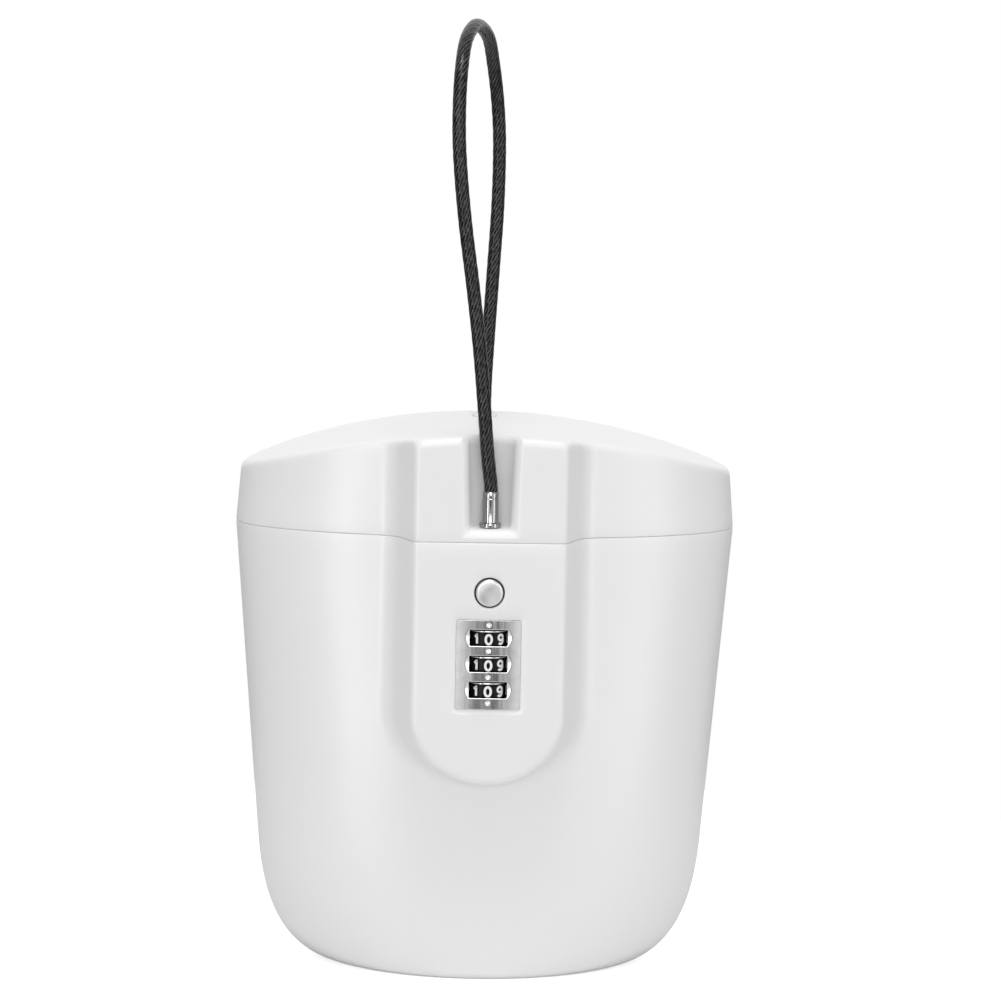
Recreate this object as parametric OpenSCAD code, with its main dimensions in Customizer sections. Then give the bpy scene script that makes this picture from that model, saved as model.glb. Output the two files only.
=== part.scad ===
// Portable beach safe. An oval case tapers towards its foot, and an arched lid is hinged
// at its rear. A raised housing down the front holds a push button and three number
// wheels. A steel cable is anchored in the lid and plugs in at the front, where its plug
// passes through the lid into the lock and so holds the lid shut.
// The front of the case faces -Y, and the origin is the middle of the oval foot.

/* [Case] */
// Width of the case at the lid seam
case_w = 165; // [150:1:180]
// Depth of the case without the lock housing
case_d = 80; // [76:1:90]
// Height of the body up to the lid seam
body_h = 146; // [138:1:160]
// Wall thickness of body and lid
wall = 3.2; // [2.8:0.1:4]
// How far each end leans in per millimetre of height
end_lean = 0.082; // [0.05:0.002:0.1]
// Height of the rounded lower corners
corner_h = 42; // [34:1:48]
// How far the lower corners come in
corner_in = 26; // [18:1:30]
// Rounding round the foot
foot_r = 2; // [1:0.5:3]

/* [Lid] */
// Height of the lid's ends above the seam
lid_end_h = 19; // [16:0.5:24]
// How far the crown of the lid stands above its ends
lid_rise = 14.5; // [12:0.5:18]
// Thickness of the lid's roof
roof_t = 3; // [2.6:0.1:4]
// Rounding round the lid's top edge
lid_edge_r = 3; // [2:0.5:5]
// Gap between body and lid at the seam
seam_gap = 0.3; // [0.2:0.05:0.4]
// Width of the rubber seal in the lid's rim
seal_w = 1.3; // [1:0.1:1.5]
// Height of the rubber seal
seal_h = 1.8; // [1.6:0.1:2.4]

/* [Hinge] */
// Radius of the hinge pin
pin_r = 1.5; // [1.2:0.1:1.8]
// Radius of the knuckles
knuckle_r = 3.25; // [2.8:0.05:3.4]
// Length of the row of knuckles
hinge_len = 42; // [34:1:50]
// Distance of the pin behind the case's rear wall
hinge_out = 3.8; // [3.6:0.1:5]

/* [Lock housing] */
// Width of the housing's face
housing_w = 49.2; // [46:0.2:54]
// How much each side of the housing widens per millimetre of depth
housing_flare = 0.39; // [0.2:0.01:0.5]
// Height where the housing's rounded lower end begins
housing_end_z = 89.5; // [88:0.5:94]
// Height of the housing's rounded lower end
housing_end_h = 22.5; // [20:0.5:26]
// Thickness of the housing's front wall
housing_wall = 2.5; // [2.2:0.1:2.8]
// Distance from the housing's face back to the line of the wheels and the plug
lock_depth = 6; // [5.8:0.1:6.4]
// Width of the room inside the housing
room_w = 36; // [35.6:0.2:40]
// Thickness of the deck over that room
deck_t = 4.2; // [3.6:0.1:4.4]

/* [Number wheels] */
// Radius of a number wheel
wheel_r = 6.7; // [6.5:0.05:6.9]
// Thickness of a number wheel
wheel_t = 5.1; // [4.7:0.05:5.2]
// Distance from one wheel to the next
wheel_pitch = 8.5; // [8.5:0.05:8.8]
// Depth of the top wheel's middle below the seam
wheels_drop = 30.8; // [30.8:0.1:32]
// Radius of the spindle
spindle_r = 1.5; // [1.2:0.05:1.7]
// How far the spindle slides down to free the wheels for a new code
code_travel = 1.2; // [1:0.05:1.2]

/* [Dial plate] */
// Width of the plate
plate_w = 20.9; // [19:0.1:23]
// Height of the plate
plate_h = 29.1; // [28:0.1:30]
// Thickness of the plate at its sides
plate_t = 1.2; // [1:0.1:1.4]
// How far the middle of the plate bulges forward
plate_bulge = 0.5; // [0.2:0.05:0.8]
// Width of a window
window_w = 12.4; // [11:0.1:13]
// Height of a window
window_h = 5.44; // [5.3:0.02:5.8]

/* [Push button] */
// Radius of the button's cap
button_r = 4.45; // [4:0.05:4.8]
// Gap round the cap
button_gap = 0.5; // [0.2:0.05:0.5]
// How far the cap stands out of the housing's face
button_proud = 0.8; // [0.4:0.1:1.6]
// Travel of the button
button_travel = 2; // [1.6:0.1:2.1]
// Depth of the button's middle below the seam
button_drop = 16.2; // [15.9:0.05:16.3]

/* [Cable and plug] */
// Diameter of the coated cable
cable_d = 4.4; // [3.4:0.1:4.4]
// Radius of the plug's shank
shank_r = 2.65; // [2.4:0.05:2.7]
// Radius of the plug's flange
flange_r = 3.55; // [3.2:0.05:4]
// Height of the ferrule above the ledge
ferrule_h = 11.7; // [9:0.1:13]
// Radius of the neck that the latch grips
neck_r = 1.7; // [1.5:0.05:1.8]
// Thickness of the ledge in the lid that the plug stands on
ledge_t = 4; // [3.4:0.1:4.4]
// Half width of the groove above the ledge, at its foot
groove_low = 6; // [5:0.1:6.4]
// Half width of the groove at the lid's top
groove_high = 8.4; // [7:0.1:8.6]
// Distance of the cable's anchor behind the middle of the lid
anchor_y = 22; // [18:0.5:24]

/* [Hidden] */
$fn = 48;

// Clearances: run is a turning or sliding fit, slack is a loose one, touch parts two faces
run = 0.06;
slack = 0.3;
touch = 0.05;
over = 1;

// Screws
screw_r = 1.1;
screw_hole_r = 1.3;
screw_head_r = 2.1;
screw_head_t = 1.2;

// Case
half_w = case_w / 2;
half_d = case_d / 2;
oval_steps = 72;
corner_steps = 9;
corner_power = 2.5;
floor_t = wall;
lid_foot_z = body_h + seam_gap;
crown_z = body_h + lid_end_h + lid_rise;
roof_steps = 4;

// Height of the hinge's webs on the body
web_h = 8;

// How much further back the housing's top begins in the lid than in the body
lid_bite = 8;

// Planes of the lock, from the case's front wall outwards
frame_t = 1.5;
spring_room = 1.4;
front_wall_y = -(half_d - wall);
frame_rear_y = front_wall_y - 0.1;
frame_front_y = frame_rear_y - frame_t;
lock_y = frame_front_y - spring_room - wheel_r;
face_y = lock_y - lock_depth;
room_front_y = face_y + housing_wall;
housing_out = -half_d - face_y;
housing_half = housing_w / 2;
housing_bite = 10;
housing_root_y = -half_d + housing_bite;
housing_root_half = housing_half + housing_flare * (housing_root_y - face_y);
housing_edge = 1.4;

// Heights in the lock, from the seam down
deck_z = body_h - deck_t;
clip_wire_r = 0.45;
clip_drop = 7;
clip_z = body_h - clip_drop;
shelf_t = 1.6;
shelf_z = clip_z - clip_wire_r - touch - shelf_t;
button_z = body_h - button_drop;
button_flange_r = button_r + 1;
button_flange_t = 1.2;
wheel_z = [for (i = [0:2]) body_h - wheels_drop - i * wheel_pitch];
sleeve_top = 3.9;
sleeve_low = wheel_pitch - sleeve_top - 0.1;
ear_t = 3;
collar_t = 0.55;
top_ear_z = wheel_z[0] + sleeve_top + collar_t + 2 * touch;
spring_free = 4.5;
bottom_ear_z = wheel_z[2] - sleeve_low - spring_free - ear_t;
arm_t = 1.5;
arm_z = bottom_ear_z - slack - arm_t;
spindle_foot = 0.6;
room_z = arm_z - spindle_foot - code_travel - slack - 0.1;
cheek_half = 9;
cheek_t = 1.6;
frame_half = room_w / 2 - slack;
post_r = 2.8;
screw_tip_y = lock_y + 2;
post_x = room_w / 2 - post_r - 0.6;
post_z = [room_z + post_r + 3, deck_z - post_r - 2];

// Button, spreader pin and fence
stem_r = 1.9;
foot_half = stem_r + 0.5;
spreader_r = 1.3;
spreader_y = frame_rear_y - button_travel - spreader_r - 0.4;
spreader_low = button_z - 1.6;
spring_wall_t = 0.8;
spring_wall_y = spreader_y - spreader_r - 0.5;
button_seat_y = room_front_y + slack;
fence_w = 1.3;
fence_x = wheel_r + 0.5;
fence_t = 0.8;
fence_y = button_seat_y + button_flange_t + touch;

// Dial plate
plate_z = wheel_z[1] - 0.35;
plate_seat_y = face_y + plate_t - 0.1;
mark_r = 0.75;

// Wheels, sleeves and their keys
bevel = 0.45;
bore_r = spindle_r + 1.95;
hub_r = bore_r - 0.15;
counterbore_r = bore_r + 0.95;
key_r = counterbore_r - 0.3;
key_w = 1.4;
key_low = -0.6;
key_high = 0.3;
slot_low = key_high - code_travel + 0.1;
detent_r = wheel_r - 1.1;
detent_t = 0.8;
plate_skin = 0.8;
plate_hollow = 2 * (wheel_r - 0.2);
notch_r = 0.65;
disc_r = detent_r - 0.4;
disc_t = 1;

// Lowest and highest reach of the wheels and sleeves
dials_low = wheel_z[2] - sleeve_low - code_travel - 0.2;
dials_high = wheel_z[0] + wheel_t / 2 + slack;

// Cover inside the case
cover_w = 40.6;
cover_t = 1.8;
cover_low = room_z - 2;
cover_high = deck_z + 1.4;
cover_side = half_width(cover_low) - wall;
cover_front_y = front_wall_y * sqrt(1 - pow(cover_w / 2 / cover_side, 2)) + slack;
cover_rear_y = cover_front_y + cover_t;

// Plug and ledge
ledge_z = lid_foot_z + ledge_t;
plug_hole_r = shank_r + slack;
deck_hole_r = shank_r + 1;
flange_t = 1.6;
flange_z = ledge_z + 0.1;
ferrule_z = ledge_z + ferrule_h;
socket_h = 6;
neck_h = 1.6;
plug_tip_z = clip_z - 3.1;
cable_r = cable_d / 2;

// Groove in the lid, the hollows beside it and the groove for the seal
groove_y = face_y + 4.5;
hollow_w = housing_half - groove_high - 5.6;
seal_groove_h = seal_h - seam_gap + 0.15;

// Anchor in the lid
gland_r = 4.2;
gland_top_z = crown_z + 1.4;
gland_neck_r = 3.4;
washer_t = 1.2;
washer_z = crown_z - roof_t - 0.2 - washer_t;
sleeve_r = 3.4;
sleeve_h = 7;
anchor_sleeve_z = washer_z - touch - sleeve_h;
ear_x = 11;
ear_half = 4;
anchor_ear_z = crown_z - roof_t - 0.6 - arm_t;

// Route of the cable, from the plug over the loop and down to the anchor
cable_route = [
  [0, -46.5, 156.5], [0, -46.5, 160], [0, -46.5, 164], [-1.2, -46.5, 174], [-2.65, -46.5, 190],
  [-4.4, -46.5, 208], [-6.9, -46.5, 228], [-9.95, -46.5, 250], [-11.9, -46.3, 270],
  [-12.3, -45, 284], [-11.6, -39, 297.5], [-9.8, -28, 306.8], [-6.1, -12, 310.8],
  [-1.8, 4, 306.8], [0.55, 15, 297.5], [2.5, 21, 284], [3.35, 22.3, 270],
  [3.15, 22.3, 250], [2, 22, 228], [0.9, 22, 208], [0.2, 22, 194],
  [0, 22, 186], [0, 22, 178], [0, 22, 169.5]
];
cable_steps = 2;
cable_sides = 12;

// Half width of the body at height z, before any wall is taken off
function half_width(z) = half_w - end_lean * (body_h - z);

// How far the lower corner comes in at height z, for a surface whose foot is at low
function corner_inset(z, low) =
  z >= corner_h ? 0
  : corner_in * (1 - pow(1 - pow((corner_h - z) / (corner_h - low), corner_power), 1 / corner_power));

// How far a rounding of radius r cuts in at height h above its foot
function round_inset(h, r) = h >= r ? 0 : r - sqrt(r * r - pow(r - h, 2));

function oval(a, b, z, steps = oval_steps) =
  [for (i = [0:steps - 1]) [a * cos(360 * i / steps), b * sin(360 * i / steps), z]];

function oval_2d(inset) =
  [for (i = [0:oval_steps - 1])
    [(half_w - inset) * cos(360 * i / oval_steps), (half_d - inset) * sin(360 * i / oval_steps)]];

// Height of the lid's top surface above x
function arch(x) = crown_z - lid_rise * pow(x / half_w, 2);

// Rings of the body: inset from the outer surface, with its foot at low
function body_rings(inset, low) = [
  for (k = [0:corner_steps])
    let (z = low + (corner_h - low) * pow(k / corner_steps, 2))
    oval(
      half_width(z) - inset - corner_inset(z, low),
      half_d - inset - round_inset(z - low, foot_r),
      z
    ),
  oval(half_width(body_h) - inset, half_d - inset, body_h + (inset > 0 ? over : 0))
];

// A ring of the lid, scaled by s, drop below the arch
function lid_ring(a, b, s, drop) =
  [for (p = oval(a * s, b * s, 0)) [p.x, p.y, arch(p.x) - drop]];

// Rings of the lid: side wall, rounded edge, then the roof up to a small flat crown
function lid_rings(inset, sink, edge_r) =
  let (a = half_w - inset - end_lean * (lid_end_h - edge_r), b = half_d - inset)
  [
    oval(half_w - inset, half_d - inset, lid_foot_z - (inset > 0 ? over : 0)),
    for (t = [0, 30, 60, 90])
      lid_ring(
        a - edge_r * (1 - cos(t)), b - edge_r * (1 - cos(t)), 1,
        sink + edge_r * (1 - sin(t))
      ),
    for (k = [1:roof_steps])
      lid_ring(a - edge_r, b - edge_r, 1 - k / (roof_steps + 1), sink),
    oval(4, 2, crown_z - sink)
  ];

// Closed solid through rings of equal length, each counterclockwise seen from the last one
module skin(rings) {
  n = len(rings[0]);
  m = len(rings);
  sides = [
    for (k = [0:m - 2]) for (i = [0:n - 1])
      let (j = (i + 1) % n)
      each [[k * n + i, (k + 1) * n + i, (k + 1) * n + j], [k * n + i, (k + 1) * n + j, k * n + j]]
  ];
  caps = [[for (i = [0:n - 1]) i], [for (i = [n - 1:-1:0]) (m - 1) * n + i]];
  polyhedron(points = [for (r = rings) each r], faces = concat(sides, caps));
}

function unit(v) = v / norm(v);

// Circle of radius r round point p, square to direction d, with side as one of its axes
function hoop(p, d, side, r, n) =
  let (u = unit(cross(side, d)), v = unit(cross(d, u)))
  [for (i = [0:n - 1]) p + r * (cos(360 * i / n) * u + sin(360 * i / n) * v)];

// Point on the smooth curve through route, at t along stretch i
function on_curve(route, i, t) =
  let (
    p0 = route[max(i - 1, 0)], p1 = route[i], p2 = route[i + 1],
    p3 = route[min(i + 2, len(route) - 1)]
  )
  0.5 * (2 * p1 + (p2 - p0) * t + (2 * p0 - 5 * p1 + 4 * p2 - p3) * t * t
    + (3 * p1 - p0 - 3 * p2 + p3) * t * t * t);

function curve(route, steps) = [
  for (i = [0:len(route) - 2]) for (s = [0:steps - 1]) on_curve(route, i, s / steps),
  route[len(route) - 1]
];

// Coil spring standing on z = 0
module coil_spring(coil_r, wire_r, turns, length) {
  per_turn = 8;
  steps = turns * per_turn;
  rise = length - 2 * wire_r;
  path = [
    for (k = [0:steps])
      [coil_r * cos(360 * k / per_turn), coil_r * sin(360 * k / per_turn), wire_r + rise * k / steps]
  ];
  skin([
    for (k = [0:steps])
      let (d = k == 0 ? path[1] - path[0] : k == steps ? path[k] - path[k - 1] : path[k + 1] - path[k - 1])
      hoop(path[k], d, [0, 0, 1], wire_r, 6)
  ]);
}

// Cylinder along Y from y0 to y1
module rod_y(x, z, r, y0, y1) {
  translate([x, y0, z]) rotate([-90, 0, 0]) cylinder(h = y1 - y0, r = r);
}

// Block between two corners
module block(low, high) {
  translate(low) cube(high - low);
}

// Thin slice of the lock housing in the body, at y
module housing_slice(y, half, drop) {
  translate([0, y, 0]) rotate([90, 0, 0]) linear_extrude(0.02) {
    translate([0, housing_end_z]) scale([half, housing_end_h - drop]) circle(r = 1, $fn = 48);
    translate([-half, housing_end_z]) square([2 * half, body_h - housing_end_z]);
  }
}

// Thin slice of the lock housing in the lid, at y, with its top drop below the arch
module lid_housing_slice(y, half, drop) {
  top = [for (k = [-6:6]) [-half * k / 6, arch(half * k / 6) - drop]];
  translate([0, y, 0]) rotate([90, 0, 0]) linear_extrude(0.02)
    polygon(concat([[-half, lid_foot_z], [half, lid_foot_z]], top));
}

// Knuckles of the hinge with their webs, for the body or for the lid
module knuckles(first, web_low, web_high, hole_r) {
  n = 5;
  gap = 0.25;
  length = (hinge_len - (n - 1) * gap) / n;
  for (k = [first:2:n - 1]) {
    x = -hinge_len / 2 + k * (length + gap);
    difference() {
      union() {
        translate([x, half_d + hinge_out, body_h]) rotate([0, 90, 0]) cylinder(h = length, r = knuckle_r);
        block([x, half_d - wall + 0.8, web_low], [x + length, half_d + hinge_out, web_high]);
      }
      translate([x - over, half_d + hinge_out, body_h]) rotate([0, 90, 0])
        cylinder(h = length + 2 * over, r = hole_r);
    }
  }
}

module body_shell() color("white") {
  knuckles(0, body_h - web_h, body_h - 0.1, pin_r + 0.02);
  difference() {
    union() {
      skin(body_rings(0, 0));
      hull() {
        housing_slice(housing_root_y, housing_root_half, 0);
        housing_slice(face_y + housing_edge, housing_half, 0);
        housing_slice(face_y + 0.02, housing_half - housing_edge, housing_edge);
      }
    }
    skin(body_rings(wall, floor_t));
    // room for the lock, open to the inside of the case
    block([-room_w / 2, room_front_y, room_z], [room_w / 2, front_wall_y + 2 * over, deck_z]);
    // hole in the deck for the plug, with play for the plug's swing as the lid opens
    translate([0, lock_y, deck_z - over]) cylinder(h = deck_t + 2 * over, r = deck_hole_r);
    rod_y(0, button_z, button_r + button_gap, face_y - over, room_front_y + over);
    // pocket for the dial plate, slots for the wheels and one for the sleeves between them
    block(
      [-plate_w / 2 - 0.2, face_y - over, plate_z - plate_h / 2 - 0.2],
      [plate_w / 2 + 0.2, plate_seat_y, plate_z + plate_h / 2 + 0.2]
    );
    for (z = wheel_z)
      block(
        [-wheel_r - slack, face_y - over, z - detent_t - wheel_t / 2 - 0.1],
        [wheel_r + slack, room_front_y + over, z + wheel_t / 2 + 0.1]
      );
    block([-disc_r + 1, face_y - over, dials_low], [disc_r - 1, room_front_y + over, dials_high]);
  }
  for (x = [-post_x, post_x], z = post_z)
    difference() {
      rod_y(x, z, post_r, room_front_y - 0.5, frame_front_y - touch);
      rod_y(x, z, screw_r + touch, screw_tip_y - 2, frame_front_y + over);
    }
}

module lid_shell() color("white") {
  difference() {
    union() {
      knuckles(1, lid_foot_z, lid_foot_z + 0.7 * web_h, pin_r + run);
      skin(lid_rings(0, 0, lid_edge_r));
      hull() {
        lid_housing_slice(housing_root_y + lid_bite, housing_root_half, 1.2);
        lid_housing_slice(face_y + 4, housing_half + 0.8, -0.5);
        lid_housing_slice(face_y + housing_edge, housing_half, 0.8);
        lid_housing_slice(face_y + 0.02, housing_half - housing_edge, 4);
      }
    }
    skin(lid_rings(wall, roof_t, 2));
    // scooped groove that the plug stands in
    translate([0, groove_y, ledge_z])
      cylinder(h = crown_z - ledge_z + over, r1 = groove_low, r2 = groove_high);
    translate([0, groove_y, 0]) rotate([90, 0, 0]) linear_extrude(housing_out)
      polygon([
        [-groove_low, ledge_z], [groove_low, ledge_z],
        [groove_high, crown_z + over], [-groove_high, crown_z + over]
      ]);
    translate([0, lock_y, lid_foot_z - over]) cylinder(h = ledge_t + 2 * over, r = plug_hole_r);
    // hollows on both sides of the groove
    for (side = [-1, 1])
      translate([side * (housing_half + groove_high) / 2, 0, 0])
        block(
          [-hollow_w / 2, room_front_y, lid_foot_z - over],
          [hollow_w / 2, front_wall_y + over, body_h + lid_end_h]
        );
    // groove for the seal
    translate([0, 0, lid_foot_z - over]) linear_extrude(over + seal_groove_h) difference() {
      polygon(oval_2d((wall - seal_w) / 2 - 0.1));
      polygon(oval_2d((wall + seal_w) / 2 + 0.1));
    }
    // hole for the gland, and pilot holes for the anchor's screws
    translate([0, anchor_y, crown_z - roof_t - over])
      cylinder(h = roof_t + 2 * over, r = gland_neck_r + 0.1);
    for (x = [-ear_x, ear_x])
      translate([x, anchor_y, crown_z - roof_t - over])
        cylinder(h = over + roof_t - 1, r = screw_r + touch);
  }
}

module rim_seal() color("dimgray") {
  translate([0, 0, body_h + 0.1]) linear_extrude(seal_h) difference() {
    polygon(oval_2d((wall - seal_w) / 2));
    polygon(oval_2d((wall + seal_w) / 2));
  }
}

module hinge_pin() color("silver") {
  translate([-hinge_len / 2, half_d + hinge_out, body_h]) rotate([0, 90, 0])
    cylinder(h = hinge_len, r = pin_r);
}

module lock_frame() color("gray") {
  cheek_out = cheek_half + cheek_t;
  front = room_front_y + 0.2;
  ear_low = [-cheek_out, front];
  ear_high = [cheek_out, frame_front_y + touch];
  difference() {
    union() {
      // back plate
      block([-frame_half, frame_front_y, room_z + slack], [frame_half, frame_rear_y, deck_z - slack]);
      // cheeks
      for (x = [-cheek_out, cheek_half])
        block([x, front, bottom_ear_z], [x + cheek_t, ear_high.y, shelf_z + shelf_t]);
      // two ears that carry the spindle, and the shelf under the latch clip
      for (z = [bottom_ear_z, top_ear_z])
        block([each ear_low, z], [each ear_high, z + ear_t]);
      block([each ear_low, shelf_z], [each ear_high, shelf_z + shelf_t]);
      // wall that the button's spring bears on
      block(
        [-cheek_out, spring_wall_y - spring_wall_t, top_ear_z + ear_t - touch],
        [cheek_out, spring_wall_y, shelf_z + touch]
      );
    }
    translate([0, lock_y, room_z]) cylinder(h = body_h - room_z, r = spindle_r + run);
    translate([0, lock_y, shelf_z - over]) cylinder(h = shelf_t + 2 * over, r = shank_r + 0.6);
    // slot for the fence in the upper ear
    block(
      [fence_x - 0.4, front - over, top_ear_z - over],
      [fence_x + fence_w + 0.4, fence_y + fence_t + button_travel + 0.85, top_ear_z + ear_t + over]
    );
    // slots for the button's stem and for the spreader pin
    block(
      [-stem_r - 0.2, spring_wall_y - 2, top_ear_z + ear_t],
      [stem_r + 0.2, spring_wall_y + over, button_z + stem_r + 0.2]
    );
    block(
      [-spreader_r - 0.4, spring_wall_y + 0.2, shelf_z - over],
      [spreader_r + 0.4, frame_rear_y + over, shelf_z + shelf_t + over]
    );
    block(
      [-foot_half - 0.4, frame_front_y - 0.2, button_z - foot_half - 0.4],
      [foot_half + 0.4, frame_rear_y + over, clip_z + 1.6]
    );
    // slot for the arm of the code slide
    arm_slot(frame_front_y - over, frame_rear_y + over);
    for (x = [-post_x, post_x], z = post_z)
      rod_y(x, z, screw_hole_r, frame_front_y - over, frame_rear_y + over);
  }
}

// Slot from y0 to y1 that the arm of the code slide moves in
module arm_slot(y0, y1) {
  block([-3, y0, arm_z - code_travel - 0.2], [3, y1, arm_z + arm_t + 0.2]);
}

module lock_cover() color("gainsboro") {
  difference() {
    union() {
      block([-cover_w / 2, cover_front_y, cover_low], [cover_w / 2, cover_rear_y, cover_high]);
      for (x = [-post_x, post_x], z = post_z)
        rod_y(x, z, post_r - 0.2, frame_rear_y + touch, cover_front_y + touch);
    }
    for (x = [-post_x, post_x], z = post_z)
      rod_y(x, z, screw_hole_r, frame_rear_y - over, cover_rear_y + over);
    arm_slot(cover_front_y - over, cover_rear_y + over);
  }
}

module cover_screws() color("silver") {
  for (x = [-post_x, post_x], z = post_z) {
    rod_y(x, z, screw_r, screw_tip_y, cover_rear_y + touch + screw_head_t / 2);
    difference() {
      rod_y(x, z, screw_head_r, cover_rear_y + touch, cover_rear_y + touch + screw_head_t);
      // cross recess
      for (a = [0, 90])
        translate([x, cover_rear_y + touch + screw_head_t, z]) rotate([0, a, 0])
          cube([2.6, 1, 0.5], center = true);
    }
  }
}

module dial_plate() color("silver") {
  bulge_r = (pow(plate_w / 2, 2) + pow(plate_bulge, 2)) / (2 * plate_bulge);
  front_y = plate_seat_y - plate_t - plate_bulge;
  difference() {
    intersection() {
      block(
        [-plate_w / 2, front_y - over, plate_z - plate_h / 2],
        [plate_w / 2, plate_seat_y - touch / 2, plate_z + plate_h / 2]
      );
      translate([0, front_y + bulge_r, plate_z - plate_h])
        cylinder(h = 2 * plate_h, r = bulge_r, $fn = 200);
    }
    // hollow back, with room for the wheels' notched rims
    block(
      [-plate_hollow / 2, front_y + plate_skin, dials_low],
      [plate_hollow / 2, plate_seat_y + over, dials_high]
    );
    for (z = wheel_z)
      block(
        [-window_w / 2, front_y - over, z - window_h / 2],
        [window_w / 2, plate_seat_y + over, z + window_h / 2]
      );
    // index marks above each window and under the last one
    for (k = [0:3])
      translate([0, front_y - 0.3, wheel_z[0] + (0.5 - k) * wheel_pitch]) sphere(r = mark_r, $fn = 32);
  }
}

// Number wheel i, with ten detent notches under it and a keyway in its bore
module dial_wheel(i) color("black") {
  h = wheel_t / 2;
  translate([0, lock_y, wheel_z[i]]) difference() {
    rotate_extrude($fn = 96) polygon([
      [bore_r, h], [wheel_r - bevel, h], [wheel_r, h - bevel], [wheel_r, bevel - h],
      [wheel_r - bevel, -h], [detent_r, -h], [detent_r, -h - detent_t],
      [counterbore_r, -h - detent_t], [counterbore_r, slot_low], [bore_r, slot_low]
    ]);
    for (k = [0:9])
      rotate([0, 0, 90 + 36 * k]) translate([detent_r + 0.15, 0, -h - detent_t - over])
        cylinder(h = detent_t + over, r = notch_r, $fn = 24);
    block([0, -key_w / 2 - 0.2, slot_low - over], [key_r + 0.2, key_w / 2 + 0.2, h + over]);
  }
}

// Clutch sleeve i: its key turns with the wheel, and its gated disc meets the fence
module clutch_sleeve(i) color("goldenrod") {
  translate([0, lock_y, wheel_z[i]]) difference() {
    union() {
      translate([0, 0, -sleeve_low]) cylinder(h = disc_t, r = disc_r);
      translate([0, 0, -sleeve_low]) cylinder(h = sleeve_low + sleeve_top, r = hub_r);
      block([hub_r - 0.3, -key_w / 2, key_low], [key_r, key_w / 2, key_high]);
    }
    translate([0, 0, -sleeve_low - over])
      cylinder(h = sleeve_low + sleeve_top + 2 * over, r = spindle_r + run);
    block([disc_r - 1.2, -0.9, -sleeve_low - over], [disc_r + over, 0.9, disc_t - sleeve_low + 0.001]);
  }
}

module dial_wheel_1() { dial_wheel(0); }
module dial_wheel_2() { dial_wheel(1); }
module dial_wheel_3() { dial_wheel(2); }
module clutch_sleeve_1() { clutch_sleeve(0); }
module clutch_sleeve_2() { clutch_sleeve(1); }
module clutch_sleeve_3() { clutch_sleeve(2); }

module dial_spindle() color("silver") {
  collar_z = wheel_z[0] + sleeve_top + touch;
  translate([0, lock_y, 0]) {
    translate([0, 0, arm_z - touch]) cylinder(h = top_ear_z + ear_t - 0.5 - arm_z + touch, r = spindle_r);
    translate([0, 0, collar_z]) cylinder(h = collar_t, r = hub_r - 0.5);
    translate([0, 0, arm_z - touch - spindle_foot]) cylinder(h = spindle_foot, r = spindle_r + 0.6);
  }
}

module clutch_spring() color("silver") {
  translate([0, lock_y, bottom_ear_z + ear_t + touch])
    coil_spring(spindle_r + 1.1, 0.35, 3, spring_free - 2 * touch);
}

// Leaf with three fingers, whose noses rest in the notches of the wheels
module detent_spring() color("silver") {
  finger_y = lock_y + detent_r + 0.15;
  strip_z = [wheel_z[2] - wheel_t / 2 - detent_t - 1.5, wheel_z[0] + wheel_t / 2 - 1];
  block([-4, frame_front_y - touch - 0.5, strip_z[0]], [4, frame_front_y - touch, strip_z[1]]);
  for (z = wheel_z)
    translate([0, 0, z - wheel_t / 2 - detent_t + 0.05]) {
      block([-1.2, finger_y + 0.3, 0], [1.2, frame_front_y - touch - 0.2, detent_t - 0.15]);
      translate([0, finger_y, 0]) cylinder(h = detent_t - 0.15, r = 0.5, $fn = 24);
    }
}

// Slide inside the case that pulls the spindle down while a new code is set
module code_slide() color("dimgray") {
  tab_y = cover_rear_y + slack;
  tab_t = 1.8;
  tab_half = 4.5;
  difference() {
    union() {
      block([-2.7, lock_y - 3, arm_z], [2.7, tab_y + tab_t, arm_z + arm_t]);
      block([-tab_half, tab_y, arm_z - 3], [tab_half, tab_y + tab_t, arm_z + arm_t + 3]);
      // three ribs that a fingertip pulls on
      for (z = [-2.4, 0, 2.4])
        translate([0, 0, arm_z + arm_t / 2 + z])
          block([-tab_half, tab_y + tab_t - 0.3, -0.4], [tab_half, tab_y + tab_t + 0.4, 0.4]);
    }
    translate([0, lock_y, arm_z - over]) cylinder(h = arm_t + 2 * over, r = spindle_r + 0.02);
  }
}

module release_button() color("lightgray") {
  top_y = face_y - button_proud;
  chamfer = 0.3;
  foot_rear_y = spreader_y + 1.5;
  difference() {
    union() {
      rod_y(0, button_z, button_r - chamfer, top_y, button_seat_y);
      rod_y(0, button_z, button_r, top_y + chamfer, button_seat_y);
      rod_y(0, button_z, button_flange_r, button_seat_y, button_seat_y + button_flange_t);
      rod_y(0, button_z, stem_r, button_seat_y, foot_rear_y);
      block(
        [-foot_half, spreader_y - 1.5, button_z - foot_half],
        [foot_half, foot_rear_y, button_z + foot_half]
      );
    }
    translate([0, spreader_y, spreader_low]) cylinder(h = 2 * foot_half, r = spreader_r + 0.02);
  }
}

// Sheet metal fence behind the button, whose fingers stand at the gated discs
module fence_plate() color("silver") {
  rear_y = fence_y + fence_t;
  side_x = fence_x + fence_w;
  finger_low = sleeve_low + 0.7;
  difference() {
    union() {
      rod_y(0, button_z, button_flange_r - 0.1, fence_y, rear_y);
      block([3, fence_y, button_z - 2.5], [side_x, rear_y, button_z + 1.5]);
      block([fence_x, fence_y, wheel_z[2] - finger_low], [side_x, rear_y, button_z]);
      for (z = wheel_z)
        translate([0, 0, z - finger_low])
          block([disc_r + 0.2, fence_y, 0], [fence_x + over / 2, rear_y, 1.2]);
    }
    rod_y(0, button_z, stem_r + touch, fence_y - over, rear_y + over);
  }
}

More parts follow.
